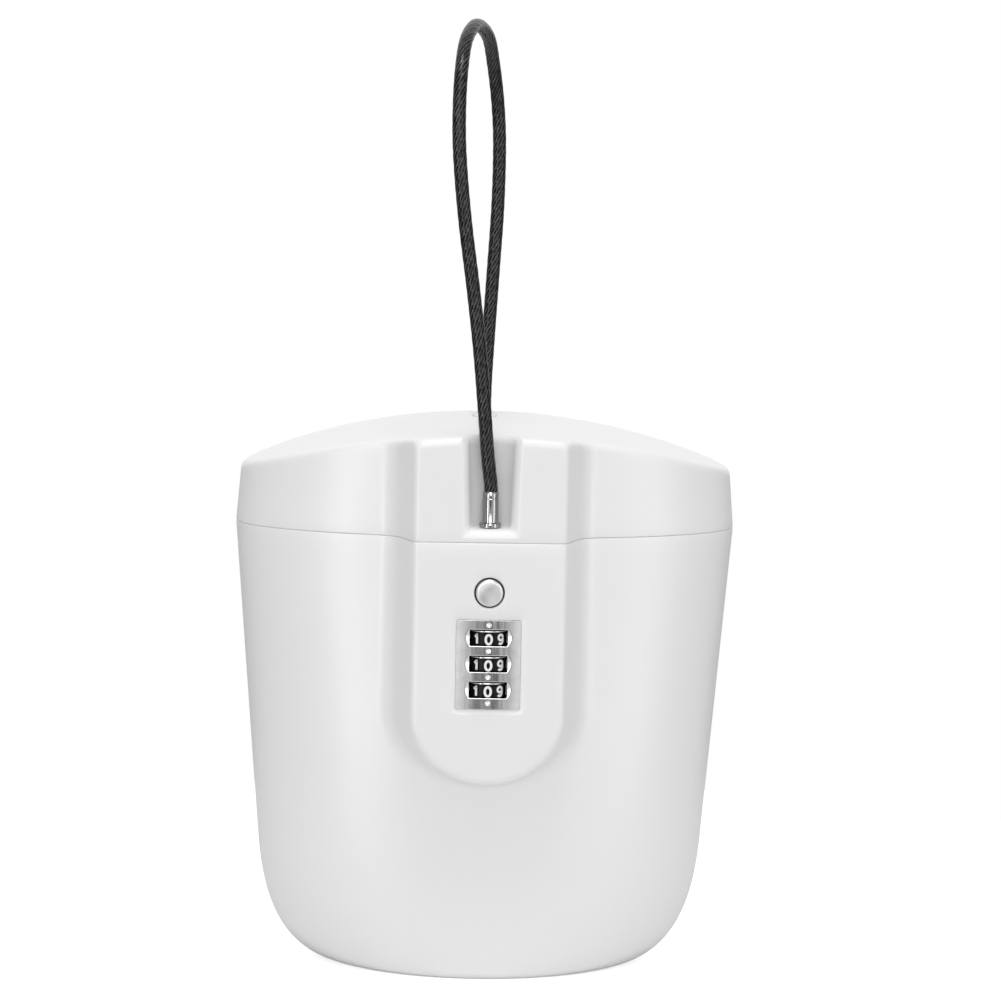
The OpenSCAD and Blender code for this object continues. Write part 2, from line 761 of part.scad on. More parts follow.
module spreader_pin() color("silver") {
  translate([0, spreader_y, spreader_low]) cylinder(h = clip_z + 1.2 - spreader_low, r = spreader_r);
}

module button_spring() color("silver") {
  start = fence_y + fence_t + touch;
  end = spring_wall_y - spring_wall_t - touch;
  translate([0, start, button_z]) rotate([-90, 0, 0])
    coil_spring(stem_r + 1.3, 0.35, 3, end - start);
}

// Wire clip whose two arms grip the plug's neck
module latch_clip() color("silver") {
  arm_x = neck_r + clip_wire_r + 0.1;
  arm_end = spreader_y + 1;
  hook = [1, 0.7];
  translate([0, 0, clip_z]) {
    translate([0, lock_y, 0]) rotate([0, 0, 180]) rotate_extrude(angle = 180)
      translate([arm_x, 0]) circle(r = clip_wire_r, $fn = 24);
    for (side = [-1, 1]) {
      translate([side * arm_x, lock_y, 0]) rotate([-90, 0, 0])
        cylinder(h = arm_end - lock_y, r = clip_wire_r, $fn = 24);
      translate([side * arm_x, arm_end, 0]) sphere(r = clip_wire_r, $fn = 24);
      // end bent inwards behind the spreader pin
      translate([side * arm_x, arm_end, 0]) rotate([-90, 0, 0])
        rotate([0, -side * atan(hook.x / hook.y), 0])
        cylinder(h = norm(hook), r = clip_wire_r, $fn = 24);
    }
  }
}

module cable_plug() color("silver") {
  translate([0, lock_y, 0]) rotate_extrude() polygon([
    [0, plug_tip_z], [neck_r - 0.1, plug_tip_z], [shank_r - 0.15, clip_z - neck_h / 2 - 0.6],
    [shank_r - 0.15, clip_z - neck_h / 2], [neck_r, clip_z - neck_h / 2], [neck_r, clip_z + neck_h / 2],
    [shank_r, clip_z + neck_h / 2 + 0.3], [shank_r, flange_z],
    [flange_r, flange_z], [flange_r, flange_z + flange_t], [shank_r, flange_z + flange_t],
    [shank_r, ferrule_z - 0.2], [shank_r - 0.2, ferrule_z],
    [cable_r + touch, ferrule_z], [cable_r + touch, ferrule_z - socket_h], [0, ferrule_z - socket_h]
  ]);
}

module cable_loop() color([0.12, 0.12, 0.12]) {
  path = curve(cable_route, cable_steps);
  n = len(path);
  skin([
    for (k = [0:n - 1])
      let (d = k == 0 || k == n - 1 ? [0, 0, k == 0 ? 1 : -1] : path[k + 1] - path[k - 1])
      hoop(path[k], d, [1, 0, 0], cable_r, cable_sides)
  ]);
}

module cable_gland() color("dimgray") {
  translate([0, anchor_y, 0]) rotate_extrude() polygon([
    [cable_r + 0.1, crown_z - roof_t], [gland_neck_r, crown_z - roof_t], [gland_neck_r, crown_z + 0.02],
    [gland_r, crown_z + 0.02], [gland_r, crown_z + 0.35], [gland_neck_r, crown_z + 0.55],
    [gland_neck_r, gland_top_z - 0.6], [gland_neck_r - 0.6, gland_top_z], [cable_r + 0.1, gland_top_z]
  ]);
}

module anchor_washer() color("silver") {
  translate([0, anchor_y, washer_z]) difference() {
    cylinder(h = washer_t, r = gland_neck_r + 2.4);
    translate([0, 0, -over]) cylinder(h = washer_t + 2 * over, r = cable_r + 0.1);
  }
}

module anchor_sleeve() color("silver") {
  translate([0, anchor_y, anchor_sleeve_z]) difference() {
    cylinder(h = sleeve_h, r = sleeve_r);
    translate([0, 0, 1]) cylinder(h = sleeve_h, r = cable_r + touch);
  }
}

module anchor_cover() color("gainsboro") {
  cup_r = gland_neck_r + 3;
  cup_low = anchor_sleeve_z - 2.2;
  difference() {
    union() {
      translate([0, anchor_y, cup_low]) cylinder(h = anchor_ear_z + arm_t - cup_low, r = cup_r + 1.4);
      block(
        [-ear_x - 3, anchor_y - ear_half, anchor_ear_z],
        [ear_x + 3, anchor_y + ear_half, anchor_ear_z + arm_t]
      );
    }
    translate([0, anchor_y, cup_low + 1.6]) cylinder(h = crown_z - cup_low, r = cup_r);
    for (x = [-ear_x, ear_x])
      translate([x, anchor_y, anchor_ear_z - over]) cylinder(h = arm_t + 2 * over, r = screw_hole_r);
  }
}

module anchor_screws() color("silver") {
  head_z = anchor_ear_z - touch - screw_head_t;
  for (x = [-ear_x, ear_x]) translate([x, anchor_y, 0]) {
    translate([0, 0, head_z + screw_head_t / 2])
      cylinder(h = crown_z - 1.3 - head_z - screw_head_t / 2, r = screw_r);
    difference() {
      translate([0, 0, head_z]) cylinder(h = screw_head_t, r = screw_head_r);
      for (a = [0, 90]) translate([0, 0, head_z]) rotate([0, 0, a]) cube([2.6, 0.5, 1], center = true);
    }
  }
}

body_shell();
lid_shell();
rim_seal();
hinge_pin();
lock_frame();
lock_cover();
cover_screws();
dial_plate();
dial_wheel_1();
dial_wheel_2();
dial_wheel_3();
clutch_sleeve_1();
clutch_sleeve_2();
clutch_sleeve_3();
dial_spindle();
clutch_spring();
detent_spring();
code_slide();
release_button();
fence_plate();
spreader_pin();
button_spring();
latch_clip();
cable_plug();
cable_loop();
cable_gland();
anchor_washer();
anchor_sleeve();
anchor_cover();
anchor_screws();
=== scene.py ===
"""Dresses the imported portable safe: moulded shells, wire rope, lock face, studio and camera.

Lengths are in millimetres in the frame of the CAD model, and become metres when a mesh is made.
"""
import math

import bmesh
import bpy
import numpy as np
from mathutils import Matrix, Vector


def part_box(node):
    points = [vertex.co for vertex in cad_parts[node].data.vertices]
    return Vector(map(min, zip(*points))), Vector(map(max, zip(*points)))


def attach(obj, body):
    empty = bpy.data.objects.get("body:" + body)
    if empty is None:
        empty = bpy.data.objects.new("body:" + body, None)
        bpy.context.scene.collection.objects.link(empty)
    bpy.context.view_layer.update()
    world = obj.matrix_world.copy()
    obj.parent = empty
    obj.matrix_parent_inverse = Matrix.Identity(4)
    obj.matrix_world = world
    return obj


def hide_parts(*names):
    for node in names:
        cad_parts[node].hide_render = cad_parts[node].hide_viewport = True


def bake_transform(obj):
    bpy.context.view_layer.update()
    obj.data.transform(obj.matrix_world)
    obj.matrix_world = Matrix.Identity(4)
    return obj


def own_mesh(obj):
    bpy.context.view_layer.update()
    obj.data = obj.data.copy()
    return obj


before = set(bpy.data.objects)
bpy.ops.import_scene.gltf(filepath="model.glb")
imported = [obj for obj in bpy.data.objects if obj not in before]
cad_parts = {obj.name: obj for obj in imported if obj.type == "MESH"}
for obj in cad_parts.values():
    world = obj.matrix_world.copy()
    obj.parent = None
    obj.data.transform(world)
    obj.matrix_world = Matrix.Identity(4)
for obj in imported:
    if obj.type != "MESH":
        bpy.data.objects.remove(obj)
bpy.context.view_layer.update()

MM = 0.001

# Case
HALF_W = 82.5
HALF_D = 40.0
BODY_H = 146.0
WALL = 3.2
END_LEAN = 0.082
CORNER_H = 42.0
CORNER_IN = 26.0
CORNER_POWER = 2.5
FOOT_R = 2.0

# Lid
LID_FOOT_Z = 146.04
LID_END_H = 19.0
LID_RISE = 14.5
CROWN_Z = BODY_H + LID_END_H + LID_RISE
LID_EDGE_R = 2.2
ROOF_T = 3.0

# Small rounding of both rims at the seam, in steps of (height from the rim, distance inwards)
RIM_EASE = ((0.2, 0.06), (0.06, 0.2), (0, 0.45))
# Groove for the seal in the lid's rim, measured inwards from the outside
SEAL_OUT = 0.9
SEAL_IN = 2.3
SEAL_GROOVE_H = 1.65

# Lock housing
FACE_Y = -52.5
HOUSING_HALF = 24.6
HOUSING_FLARE = 0.39
HOUSING_END_Z = 89.5
HOUSING_END_H = 22.5
HOUSING_END_FLARE = 0.12
HOUSING_EDGE_R = 2.2
HOUSING_ROOT_R = 4.5
HOUSING_TOP_R = 2.6
HOUSING_RAISE = 0.7
LOCK_Y = -46.5
LOCK_ROOM_HALF = 18.0
LOCK_ROOM_LOW_Z = 82.2
ROOM_FRONT_Y = -50.0
# Play of a moving part in a slot or hole
PLAY = 0.3

# Lock parts on the face
BUTTON_Z = 129.8
BUTTON_R = 4.38
BUTTON_GAP = 0.55
BUTTON_EDGE_R = 0.3
BUTTON_STEM_R = 1.9
WHEEL_Z = (115.2, 106.7, 98.2)
WHEEL_R = 6.7
WHEEL_T = 5.1
WHEEL_RING_R = 0.22
WHEEL_RING_H = 2.05
PLATE_W = 20.9
PLATE_H = 29.1
PLATE_T = 1.7
PLATE_Z = 106.35
PLATE_SEAT_Y = FACE_Y + 1.1
# The plate's front falls away from its middle by this times x squared
PLATE_CROWN = 0.0065
PLATE_CORNER_R = 1.0
WINDOW_W = 12.4
WINDOW_H = 5.44
WINDOW_CORNER_R = 0.35
# Scoops beside the windows: how far they reach out, and how steeply they fall
SCOOP_W = 1.25
SCOOP_SLOPE = 0.54
MARK_R = 0.9

# Groove in the lid: its ledge, half width low and high, back, lips, the ledge's edges, and upper end
LEDGE_Z = 150.3
GROOVE_LOW = 6.4
GROOVE_HIGH = 7.3
GROOVE_BACK = -42.75
GROOVE_POWER = 1.8
LIP_R = 4.2
LIP_LEAN = math.radians(74)
LIP_POINTS = 12
LEDGE_EDGE_R = 3.2
LEDGE_FILLET = 2.0
BROW_R = 3.4
BROW_LEAN = math.radians(66)

# Plug and cable
SHANK_R = 2.65
FLANGE_R = 3.55
FLANGE_Z = 150.4
FERRULE_Z = 162.0
NECK_R = 1.7
CLIP_Z = 139.0
CABLE_D = 4.4
ANCHOR_Y = 22.0
GLAND_HOLE_R = 3.5

# Hinge
HINGE_Y = 43.8
KNUCKLE_R = 3.25
HINGE_LEN = 42.0
KNUCKLES = 5
KNUCKLE_GAP = 0.25
PIN_R = 1.5

# Coil springs
SPRING_WIRE_R = 0.35
SPRING_TURNS = 3
CLUTCH_COIL_R = 2.6
BUTTON_COIL_R = 3.2


# Meshes

def in_scene(name, data):
    """New object of the scene with a mesh, a camera or a lamp as its data."""
    obj = bpy.data.objects.new(name, data)
    bpy.context.scene.collection.objects.link(obj)
    return obj


def new_object(name, points, faces, smooth_angle=32):
    """Object from points in millimetres, with outward normals and edges sharp above smooth_angle."""
    mesh = bpy.data.meshes.new(name)
    mesh.from_pydata((np.asarray(points, float) * MM).tolist(), [], faces)
    obj = in_scene(name, mesh)
    tidy_mesh(mesh, smooth_angle)
    return obj


def tidy_mesh(mesh, smooth_angle=32):
    """Merges doubled points, turns the normals outwards and shades smooth below smooth_angle."""
    bm = bmesh.new()
    bm.from_mesh(mesh)
    bmesh.ops.remove_doubles(bm, verts=bm.verts, dist=1e-7)
    bmesh.ops.recalc_face_normals(bm, faces=bm.faces)
    bm.to_mesh(mesh)
    bm.free()
    mesh.shade_smooth()
    mesh.set_sharp_from_angle(angle=math.radians(smooth_angle))


def unit(rows):
    """Rows of vectors, each made one long."""
    return rows / np.linalg.norm(rows, axis=1)[:, None]


def sweep(start, end, steps):
    """Angles in radians, evenly from start to end in degrees."""
    return np.radians(np.linspace(start, end, steps))


def arc(cx, cy, rx, ry, start, end, steps=15):
    """Points of an arc of an ellipse, with angles in degrees."""
    return [(cx + rx * math.cos(t), cy + ry * math.sin(t)) for t in sweep(start, end, steps)]


def loop_faces(rows, columns):
    """Quads between neighbouring closed loops of points."""
    faces = []
    for r in range(rows - 1):
        for c in range(columns):
            d = (c + 1) % columns
            a = r * columns
            faces.append((a + c, a + d, a + columns + d, a + columns + c))
    return faces


def lofted(name, loops, smooth_angle=32, ring=False):
    """Closed solid through loops of equal length, its ends flat or, for a ring, joined to each other."""
    loops = np.asarray(loops, float)
    rows, columns = loops.shape[:2]
    faces = loop_faces(rows, columns)
    last = (rows - 1) * columns
    if ring:
        faces += [(last + c, last + (c + 1) % columns, (c + 1) % columns, c) for c in range(columns)]
    else:
        faces += [tuple(range(columns)), tuple(range(last, last + columns))]
    return new_object(name, loops.reshape(-1, 3), faces, smooth_angle)


def raised(z, profile):
    """The profile's (radius, height) pairs with their heights counted from z."""
    return [(r, z + h) for r, h in profile]


def revolve(name, profile, centre, axis="Z", steps=64, smooth_angle=32, ring=False):
    """Solid of revolution: profile is (radius, height) pairs along the axis through centre."""
    angles = np.linspace(0, 2 * math.pi, steps, endpoint=False)
    loops = []
    for radius, height in profile:
        radius = max(radius, 0.001)
        circle = [(radius * math.cos(t), radius * math.sin(t)) for t in angles]
        loops.append([(u, v, height) if axis == "Z" else (u, height, -v) for u, v in circle])
    return lofted(name, np.asarray(loops) + centre, smooth_angle, ring)


def block(name, half, ys, zs, middle=0):
    """Closed box from half left to half right of the middle, between two y and two z."""
    points = [(x, y, z) for x in (middle - half, middle + half) for y in ys for z in zs]
    faces = [(0, 1, 3, 2), (4, 6, 7, 5), (0, 4, 5, 1), (2, 3, 7, 6), (0, 2, 6, 4), (1, 5, 7, 3)]
    return new_object(name, points, faces)


def baked(obj):
    """Replaces the object's mesh by the result of its modifiers."""
    bpy.context.view_layer.update()
    graph = bpy.context.evaluated_depsgraph_get()
    mesh = bpy.data.meshes.new_from_object(obj.evaluated_get(graph))
    obj.modifiers.clear()
    obj.data = mesh


def cut(obj, cutters, smooth_angle=32, operation="DIFFERENCE"):
    """Takes the cutters out of obj, one after the other, or keeps what is inside them."""
    for cutter in cutters:
        boolean = obj.modifiers.new("cut", "BOOLEAN")
        boolean.operation = operation
        boolean.solver = "EXACT"
        boolean.object = cutter
        baked(obj)
        bpy.data.objects.remove(cutter)
    tidy_mesh(obj.data, smooth_angle)
    return obj


def bevel(obj, width, segments=2, angle=30, flat=False):
    """Rounds the edges sharper than angle; flat keeps the broad faces' own shading up to the roundings."""
    modifier = obj.modifiers.new("bevel", "BEVEL")
    modifier.width = width * MM
    modifier.segments = segments
    modifier.limit_method = "ANGLE"
    modifier.angle_limit = math.radians(angle)
    modifier.use_clamp_overlap = True
    baked(obj)
    tidy_mesh(obj.data, 40)
    if flat:
        weighted = obj.modifiers.new("flat", "WEIGHTED_NORMAL")
        weighted.keep_sharp = True
        weighted.weight = 90
        baked(obj)
    return obj


# Shape of the case

def soft_max(a, b, r):
    """Larger of two distances, with the edge between them rounded over r."""
    h = np.maximum(r - np.abs(a - b), 0) / r
    return np.maximum(a, b) + h * h * r / 4


def soft_min(a, b, r):
    """Smaller of two distances, with the corner between them filled over r."""
    return -soft_max(-a, -b, r)


def smooth_step(t):
    """0 to 1 for t from 0 to 1, without a kink at either end."""
    t = np.clip(t, 0, 1)
    return t * t * (3 - 2 * t)


def half_width(z):
    """Half width of the case's straight sides at height z."""
    return HALF_W - END_LEAN * (BODY_H - z)


def corner_inset(z, low):
    """How far the lower corners come in at height z."""
    rest = np.clip((CORNER_H - z) / (CORNER_H - low), 0, 1)
    return CORNER_IN * (1 - (1 - rest ** CORNER_POWER) ** (1 / CORNER_POWER))


def round_inset(h, r):
    """How far a rounding of radius r cuts in at height h above its foot."""
    return r - np.sqrt(r * r - np.maximum(r - h, 0) ** 2)


def arch(x):
    """Height of the lid's roof at x."""
    return CROWN_Z - LID_RISE * (x / HALF_W) ** 2


# The columns of the shells' grids: fixed places across the housing, then angles round the ends
CENTRE_HALF = 36.0
CENTRE_X = np.concatenate([
    -np.arange(CENTRE_HALF, 20.0, -0.4),
    np.arange(-20.0, 20.5, 1.0),
    np.arange(20.4, CENTRE_HALF + 0.2, 0.4),
])
END_COLUMNS = 22


def stations(a, b):
    """Points (x, y) of an oval: the front from left to right, then the back from right to left."""
    right = a * np.cos(np.linspace(math.acos(CENTRE_HALF / a), 0, END_COLUMNS + 1)[1:])
    x = np.concatenate([-right[::-1], CENTRE_X, right])
    y = -b * np.sqrt(np.maximum(1 - (x / a) ** 2, 0))
    return np.concatenate([x, x[-2:0:-1]]), np.concatenate([y, -y[-2:0:-1]])


FRONT = 2 * END_COLUMNS + len(CENTRE_X)
COLUMNS = 2 * FRONT - 2


def oval_distance(x, y, a, b):
    """Distance outside an oval with half axes a and b, near enough close to it."""
    g = np.sqrt((x / a) ** 2 + (y / b) ** 2)
    return g * (g - 1) / np.sqrt((x / a ** 2) ** 2 + (y / b ** 2) ** 2 + 1e-12)


def housing_distance(x, y, z):
    """Distance outside the lock housing, whose sides widen towards its root inside the case."""
    low = np.maximum(HOUSING_END_Z - z, 0) / HOUSING_END_H
    across = np.abs(x) / HOUSING_HALF
    scale = np.sqrt(across ** 2 + low ** 2) + 1e-9
    share = (across / scale) ** 2
    size = share * HOUSING_HALF + (1 - share) * HOUSING_END_H
    flare = share * HOUSING_FLARE + (1 - share) * HOUSING_END_FLARE
    side = ((scale - 1) * size - flare * (y - FACE_Y)) / np.sqrt(1 + flare ** 2)
    return np.maximum(soft_max(FACE_Y - y, side, HOUSING_EDGE_R), y + 25)


def body_distance(x, y, z):
    """Distance outside the body with its lock housing."""
    a = half_width(z) - corner_inset(z, 0)
    case = oval_distance(x, y, a, HALF_D)
    return soft_min(case, housing_distance(x, y, z), HOUSING_ROOT_R)


def housing_share(x, y):
    """1 on the housing's part of the lid, 0 on the rest."""
    return smooth_step((-y - 37) / 8) * smooth_step((HOUSING_HALF + 6 - np.abs(x)) / 5)


def roof_z(x, y):
    """Height of the lid's top, raised a little over the housing."""
    return arch(x) + HOUSING_RAISE * housing_share(x, y)


def lid_distance(x, y, z):
    """Distance outside the lid with its part of the housing."""
    a = HALF_W - END_LEAN * (z - LID_FOOT_Z)
    sides = soft_min(oval_distance(x, y, a, HALF_D), housing_distance(x, y, z), HOUSING_ROOT_R)
    slope = -2 * LID_RISE * x / HALF_W ** 2
    roof = (z - roof_z(x, y)) / np.sqrt(1 + slope ** 2)
    edge = LID_EDGE_R + (HOUSING_TOP_R - LID_EDGE_R) * housing_share(x, y)
    return soft_max(sides, roof, edge)


def reach(field, origin, direction, far):
    """Where rays from inside the field's surface come out of it."""
    low = np.zeros(origin.shape[:-1])
    high = np.full(origin.shape[:-1], float(far))
    for _ in range(36):
        middle = (low + high) / 2
        p = origin + direction * middle[..., None]
        inside = field(p[..., 0], p[..., 1], p[..., 2]) < 0
        low = np.where(inside, middle, low)
        high = np.where(inside, high, middle)
    return origin + direction * low[..., None]


def ring(a, b, z):
    """Loop of points on an oval at height z, where z is a number or one height per point."""
    x, y = stations(a, b)
    return np.stack([x, y, np.broadcast_to(z, x.shape)], axis=1)


def outward(loop):
    """Directions out of a loop of points, in its own plane."""
    ahead = np.roll(loop, -1, axis=0) - np.roll(loop, 1, axis=0)
    return unit(np.stack([ahead[:, 1], -ahead[:, 0], np.zeros(len(loop))], axis=1))


def inset_loop(loop, distance):
    """The loop moved inwards by distance in its own plane."""
    return loop - outward(loop) * distance


def ladder(points, faces, loop_start, height, rungs):
    """Closes a loop with rungs from its front points to its back points, at height(x, y)."""
    loop = [points[loop_start + k] for k in range(COLUMNS)]
    rows = []
    for j in range(1, FRONT - 1):
        front, back = loop[j], loop[(COLUMNS - j) % COLUMNS]
        row = [loop_start + j]
        for k in range(1, rungs):
            p = front + (back - front) * k / rungs
            p = np.array([p[0], p[1], height(p[0], p[1])])
            points.append(p)
            row.append(len(points) - 1)
        row.append(loop_start + (COLUMNS - j) % COLUMNS)
        rows.append(row)
    for a, b in zip(rows, rows[1:]):
        for k in range(rungs):
            faces.append((a[k], b[k], b[k + 1], a[k + 1]))
    for tip, row in ((loop_start, rows[0]), (loop_start + FRONT - 1, rows[-1])):
        for k in range(rungs):
            faces.append((tip, row[k], row[k + 1]))


def shell(name, loops, low_height, high_height, rungs):
    """Closed solid through loops, whose first and last loops are closed by ladders."""
    points = [p for loop in loops for p in loop]
    faces = loop_faces(len(loops), COLUMNS)
    ladder(points, faces, 0, low_height, rungs)
    ladder(points, faces, (len(loops) - 1) * COLUMNS, high_height, rungs)
    return new_object(name, points, faces)


def body_outer_loop(z):
    """The body's outline at height z, its front pushed out to the lock housing."""
    a = half_width(z) - corner_inset(z, 0)
    b = HALF_D - round_inset(z, FOOT_R)
    loop = ring(a, b, z)
    if z > HOUSING_END_Z - HOUSING_END_H - 12:
        middle = slice(END_COLUMNS, END_COLUMNS + len(CENTRE_X))
        origin = loop[middle] + [0, 12, 0]
        loop[middle] = reach(body_distance, origin, np.array([0, -1.0, 0]), 40)
    return loop


def make_body():
    """The body from its foot up the outside and down the inside, in close rows where it bends."""
    corner = [CORNER_H * (k / 36) ** 2 for k in range(37)]
    heights = np.concatenate([
        corner, np.arange(44.5, 61, 2.5), np.arange(62, 80, 0.3), np.arange(80, 93, 0.6),
        np.arange(94, 145, 4), [145.5],
    ])
    outer = [body_outer_loop(z) for z in heights]
    top = body_outer_loop(BODY_H)
    for drop, inset in RIM_EASE:
        outer.append(inset_loop(top, inset) - [0, 0, drop])
    inner = []
    for ease, drop in ((0.4, 0), (0.1, 0.15)):
        inner.append(ring(HALF_W - WALL + ease, HALF_D - WALL + ease, BODY_H - drop))
    inner_corner = [WALL + (CORNER_H - WALL) * (k / 30) ** 2 for k in range(30, -1, -1)]
    for z in np.concatenate([[BODY_H - 0.5], np.arange(136, 46, -10), inner_corner]):
        a = half_width(z) - WALL - corner_inset(z, WALL)
        inner.append(ring(a, HALF_D - WALL - round_inset(z - WALL, FOOT_R), z))
    return shell("case_shell", outer + inner, lambda x, y: 0.0, lambda x, y: WALL, 8)


def make_lid():
    """The lid from its rim outwards and up, then the inside down to the rim again."""
    middle_a = HALF_W - END_LEAN * 10
    base = ring(middle_a, HALF_D, 0.0)
    out = unit(np.stack([base[:, 0] / middle_a ** 2, base[:, 1] / HALF_D ** 2, np.zeros(COLUMNS)], axis=1))
    straight = np.array([0, -1.0, 0]) * np.where(base[:, 1:2] < 0, 1, -1)
    share = smooth_step((np.abs(base[:, 0:1]) - 30) / 16)
    out = unit(out * share + straight * (1 - share))
    core = base - out * 12

    def wall_loop(z):
        origin = core.copy()
        origin[:, 2] = z
        return reach(lid_distance, origin, out, 45)

    depth = 6.0
    high = wall_loop(arch(base[:, 0]) - depth)
    foot = wall_loop(LID_FOOT_Z)
    loops = [inset_loop(foot, inset) + [0, 0, rise] for rise, inset in reversed(RIM_EASE)]
    for k in range(7):
        z = LID_FOOT_Z + 0.5 + (high[:, 2] - LID_FOOT_Z - 0.5) * k / 7
        loops.append(wall_loop(z))
    pivot = high - out * depth
    for t in sweep(0, 90, 19):
        ray = out * math.cos(t) + np.array([0, 0, math.sin(t)])
        loops.append(reach(lid_distance, pivot, ray, 16))
    seal_top = LID_FOOT_Z + SEAL_GROOVE_H
    rim = []
    for inset, z in (
        (WALL, LID_FOOT_Z), (SEAL_IN, LID_FOOT_Z), (SEAL_IN, seal_top),
        (SEAL_OUT, seal_top), (SEAL_OUT, LID_FOOT_Z),
    ):
        rim.append(ring(HALF_W - inset, HALF_D - inset, z))
    inside = []
    r = 2.0
    for t in np.radians((90, 70, 45, 20, 0)):
        inset = WALL + r * (1 - math.cos(t))
        x, y = stations(HALF_W - END_LEAN * 16 - inset, HALF_D - inset)
        z = arch(x) - ROOF_T - r * (1 - math.sin(t))
        inside.append(np.stack([x, y, z], axis=1))
    return shell("lid_skin", inside + rim + loops, lambda x, y: arch(x) - ROOF_T, roof_z, 16)


def channel_row(z, half, back_y, lip):
    """One level of the groove's cutter, from the right-hand lip round the back to the left-hand one."""
    lip_y = FACE_Y + lip * math.sin(LIP_LEAN)
    right = [(half + lip * (1 - math.cos(LIP_LEAN)) + 2.5 * math.tan(LIP_LEAN), FACE_Y - 2.5)]
    for t in np.linspace(LIP_LEAN, 0, LIP_POINTS):
        right.append((half + lip * (1 - math.cos(t)), lip_y - lip * math.sin(t)))
    back = []
    for t in sweep(0, 180, 41):
        c, d = math.cos(t), math.sin(t)
        size = (abs(c) ** GROOVE_POWER + abs(d) ** GROOVE_POWER) ** (-1 / GROOVE_POWER)
        back.append((half * size * c, lip_y + (back_y - lip_y) * size * d))
    left = [(-x, y) for x, y in reversed(right)]
    return np.array([(x, y, z) for x, y in right + back + left])


def groove_cutter():
    """The soft-edged channel in the lid's front, down to a ledge with a rounded front edge."""
    top_z = CROWN_Z + HOUSING_RAISE
    reach_x = LIP_R * (1 - math.cos(LIP_LEAN))

    def level(z, inset=0.0):
        share = (z - LEDGE_Z) / (top_z - LEDGE_Z)
        half = GROOVE_LOW + (GROOVE_HIGH - GROOVE_LOW) * share - inset
        lip = (reach_x + inset) / (1 - math.cos(LIP_LEAN))
        return channel_row(z, half, GROOVE_BACK - 0.15 * inset, lip)

    foot = level(LEDGE_Z, LEDGE_FILLET)
    rows = []
    for t in sweep(8, 90, 14):
        row = foot.copy()
        row[:, 2] = LEDGE_Z - LEDGE_EDGE_R * (1 - math.sin(t))
        depth = LEDGE_EDGE_R * (1 - math.cos(t))
        in_front = row[:, 1] < FACE_Y
        behind = FACE_Y + soft_min(row[:, 1] - FACE_Y, depth, min(1.5, depth))
        row[:, 1] = np.where(in_front, row[:, 1], behind)
        rows.append(row)
    for t in sweep(0, 90, 9):
        rows.append(level(LEDGE_Z + LEDGE_FILLET * (1 - math.cos(t)), LEDGE_FILLET * (1 - math.sin(t))))
    start = top_z - BROW_R * math.sin(BROW_LEAN)
    rows += [level(z) for z in np.arange(LEDGE_Z + LEDGE_FILLET + 1, start, 2)]
    brow = level(start)
    for t in np.linspace(0, BROW_LEAN, 12):
        row = brow.copy()
        row[:, 2] += BROW_R * math.sin(t)
        rows.append(widened(row, BROW_R * (1 - math.cos(t))))
    row = brow.copy()
    row[:, 2] = top_z + 3
    rows.append(widened(row, BROW_R * (1 - math.cos(BROW_LEAN)) + 3 * math.tan(BROW_LEAN)))
    return lofted("groove", rows)


def widened(row, distance):
    """A level of the groove's cutter moved outwards by distance, its lips straight to the side."""
    out = outward(row)
    out[:LIP_POINTS + 1] = (1, 0, 0)
    out[-LIP_POINTS - 1:] = (-1, 0, 0)
    return row + out * distance


def cut_lid(lid):
    """Cuts the groove, the holes for plug and gland and the hollows beside the groove."""
    hollow_x, hollow_half = 16.5, 4.6
    hollow_back_y, hollow_top_z = -35.8, 164.5
    below = LID_FOOT_Z - 6
    hole = SHANK_R + PLAY
    shaft = [(hole, below), (hole, LEDGE_Z - 0.3), (SHANK_R + 1.1, LEDGE_Z + 0.5)]
    cutters = [
        groove_cutter(),
        revolve("plug_hole", shaft, (0, LOCK_Y, 0), steps=48),
        revolve("gland_hole", [(GLAND_HOLE_R, 170), (GLAND_HOLE_R, 190)], (0, ANCHOR_Y, 0), steps=48),
    ]
    for x in (-hollow_x, hollow_x):
        cutters.append(block("hollow", hollow_half, (ROOM_FRONT_Y, hollow_back_y), (below, hollow_top_z), x))
    return cut(lid, cutters)


def panel(name, rows, z):
    """Solid through rounded rectangles round height z: rows are (half width, half height, radius, y)."""
    loops = []
    for half_x, half_z, radius, y in rows:
        outline = []
        for side, up, start in ((1, 1, 0), (-1, 1, 90), (-1, -1, 180), (1, -1, 270)):
            corner = (side * (half_x - radius), up * (half_z - radius))
            outline += arc(*corner, radius, radius, start, start + 90, 6)
        loops.append([(px, y, z + pz) for px, pz in outline])
    return lofted(name, loops)


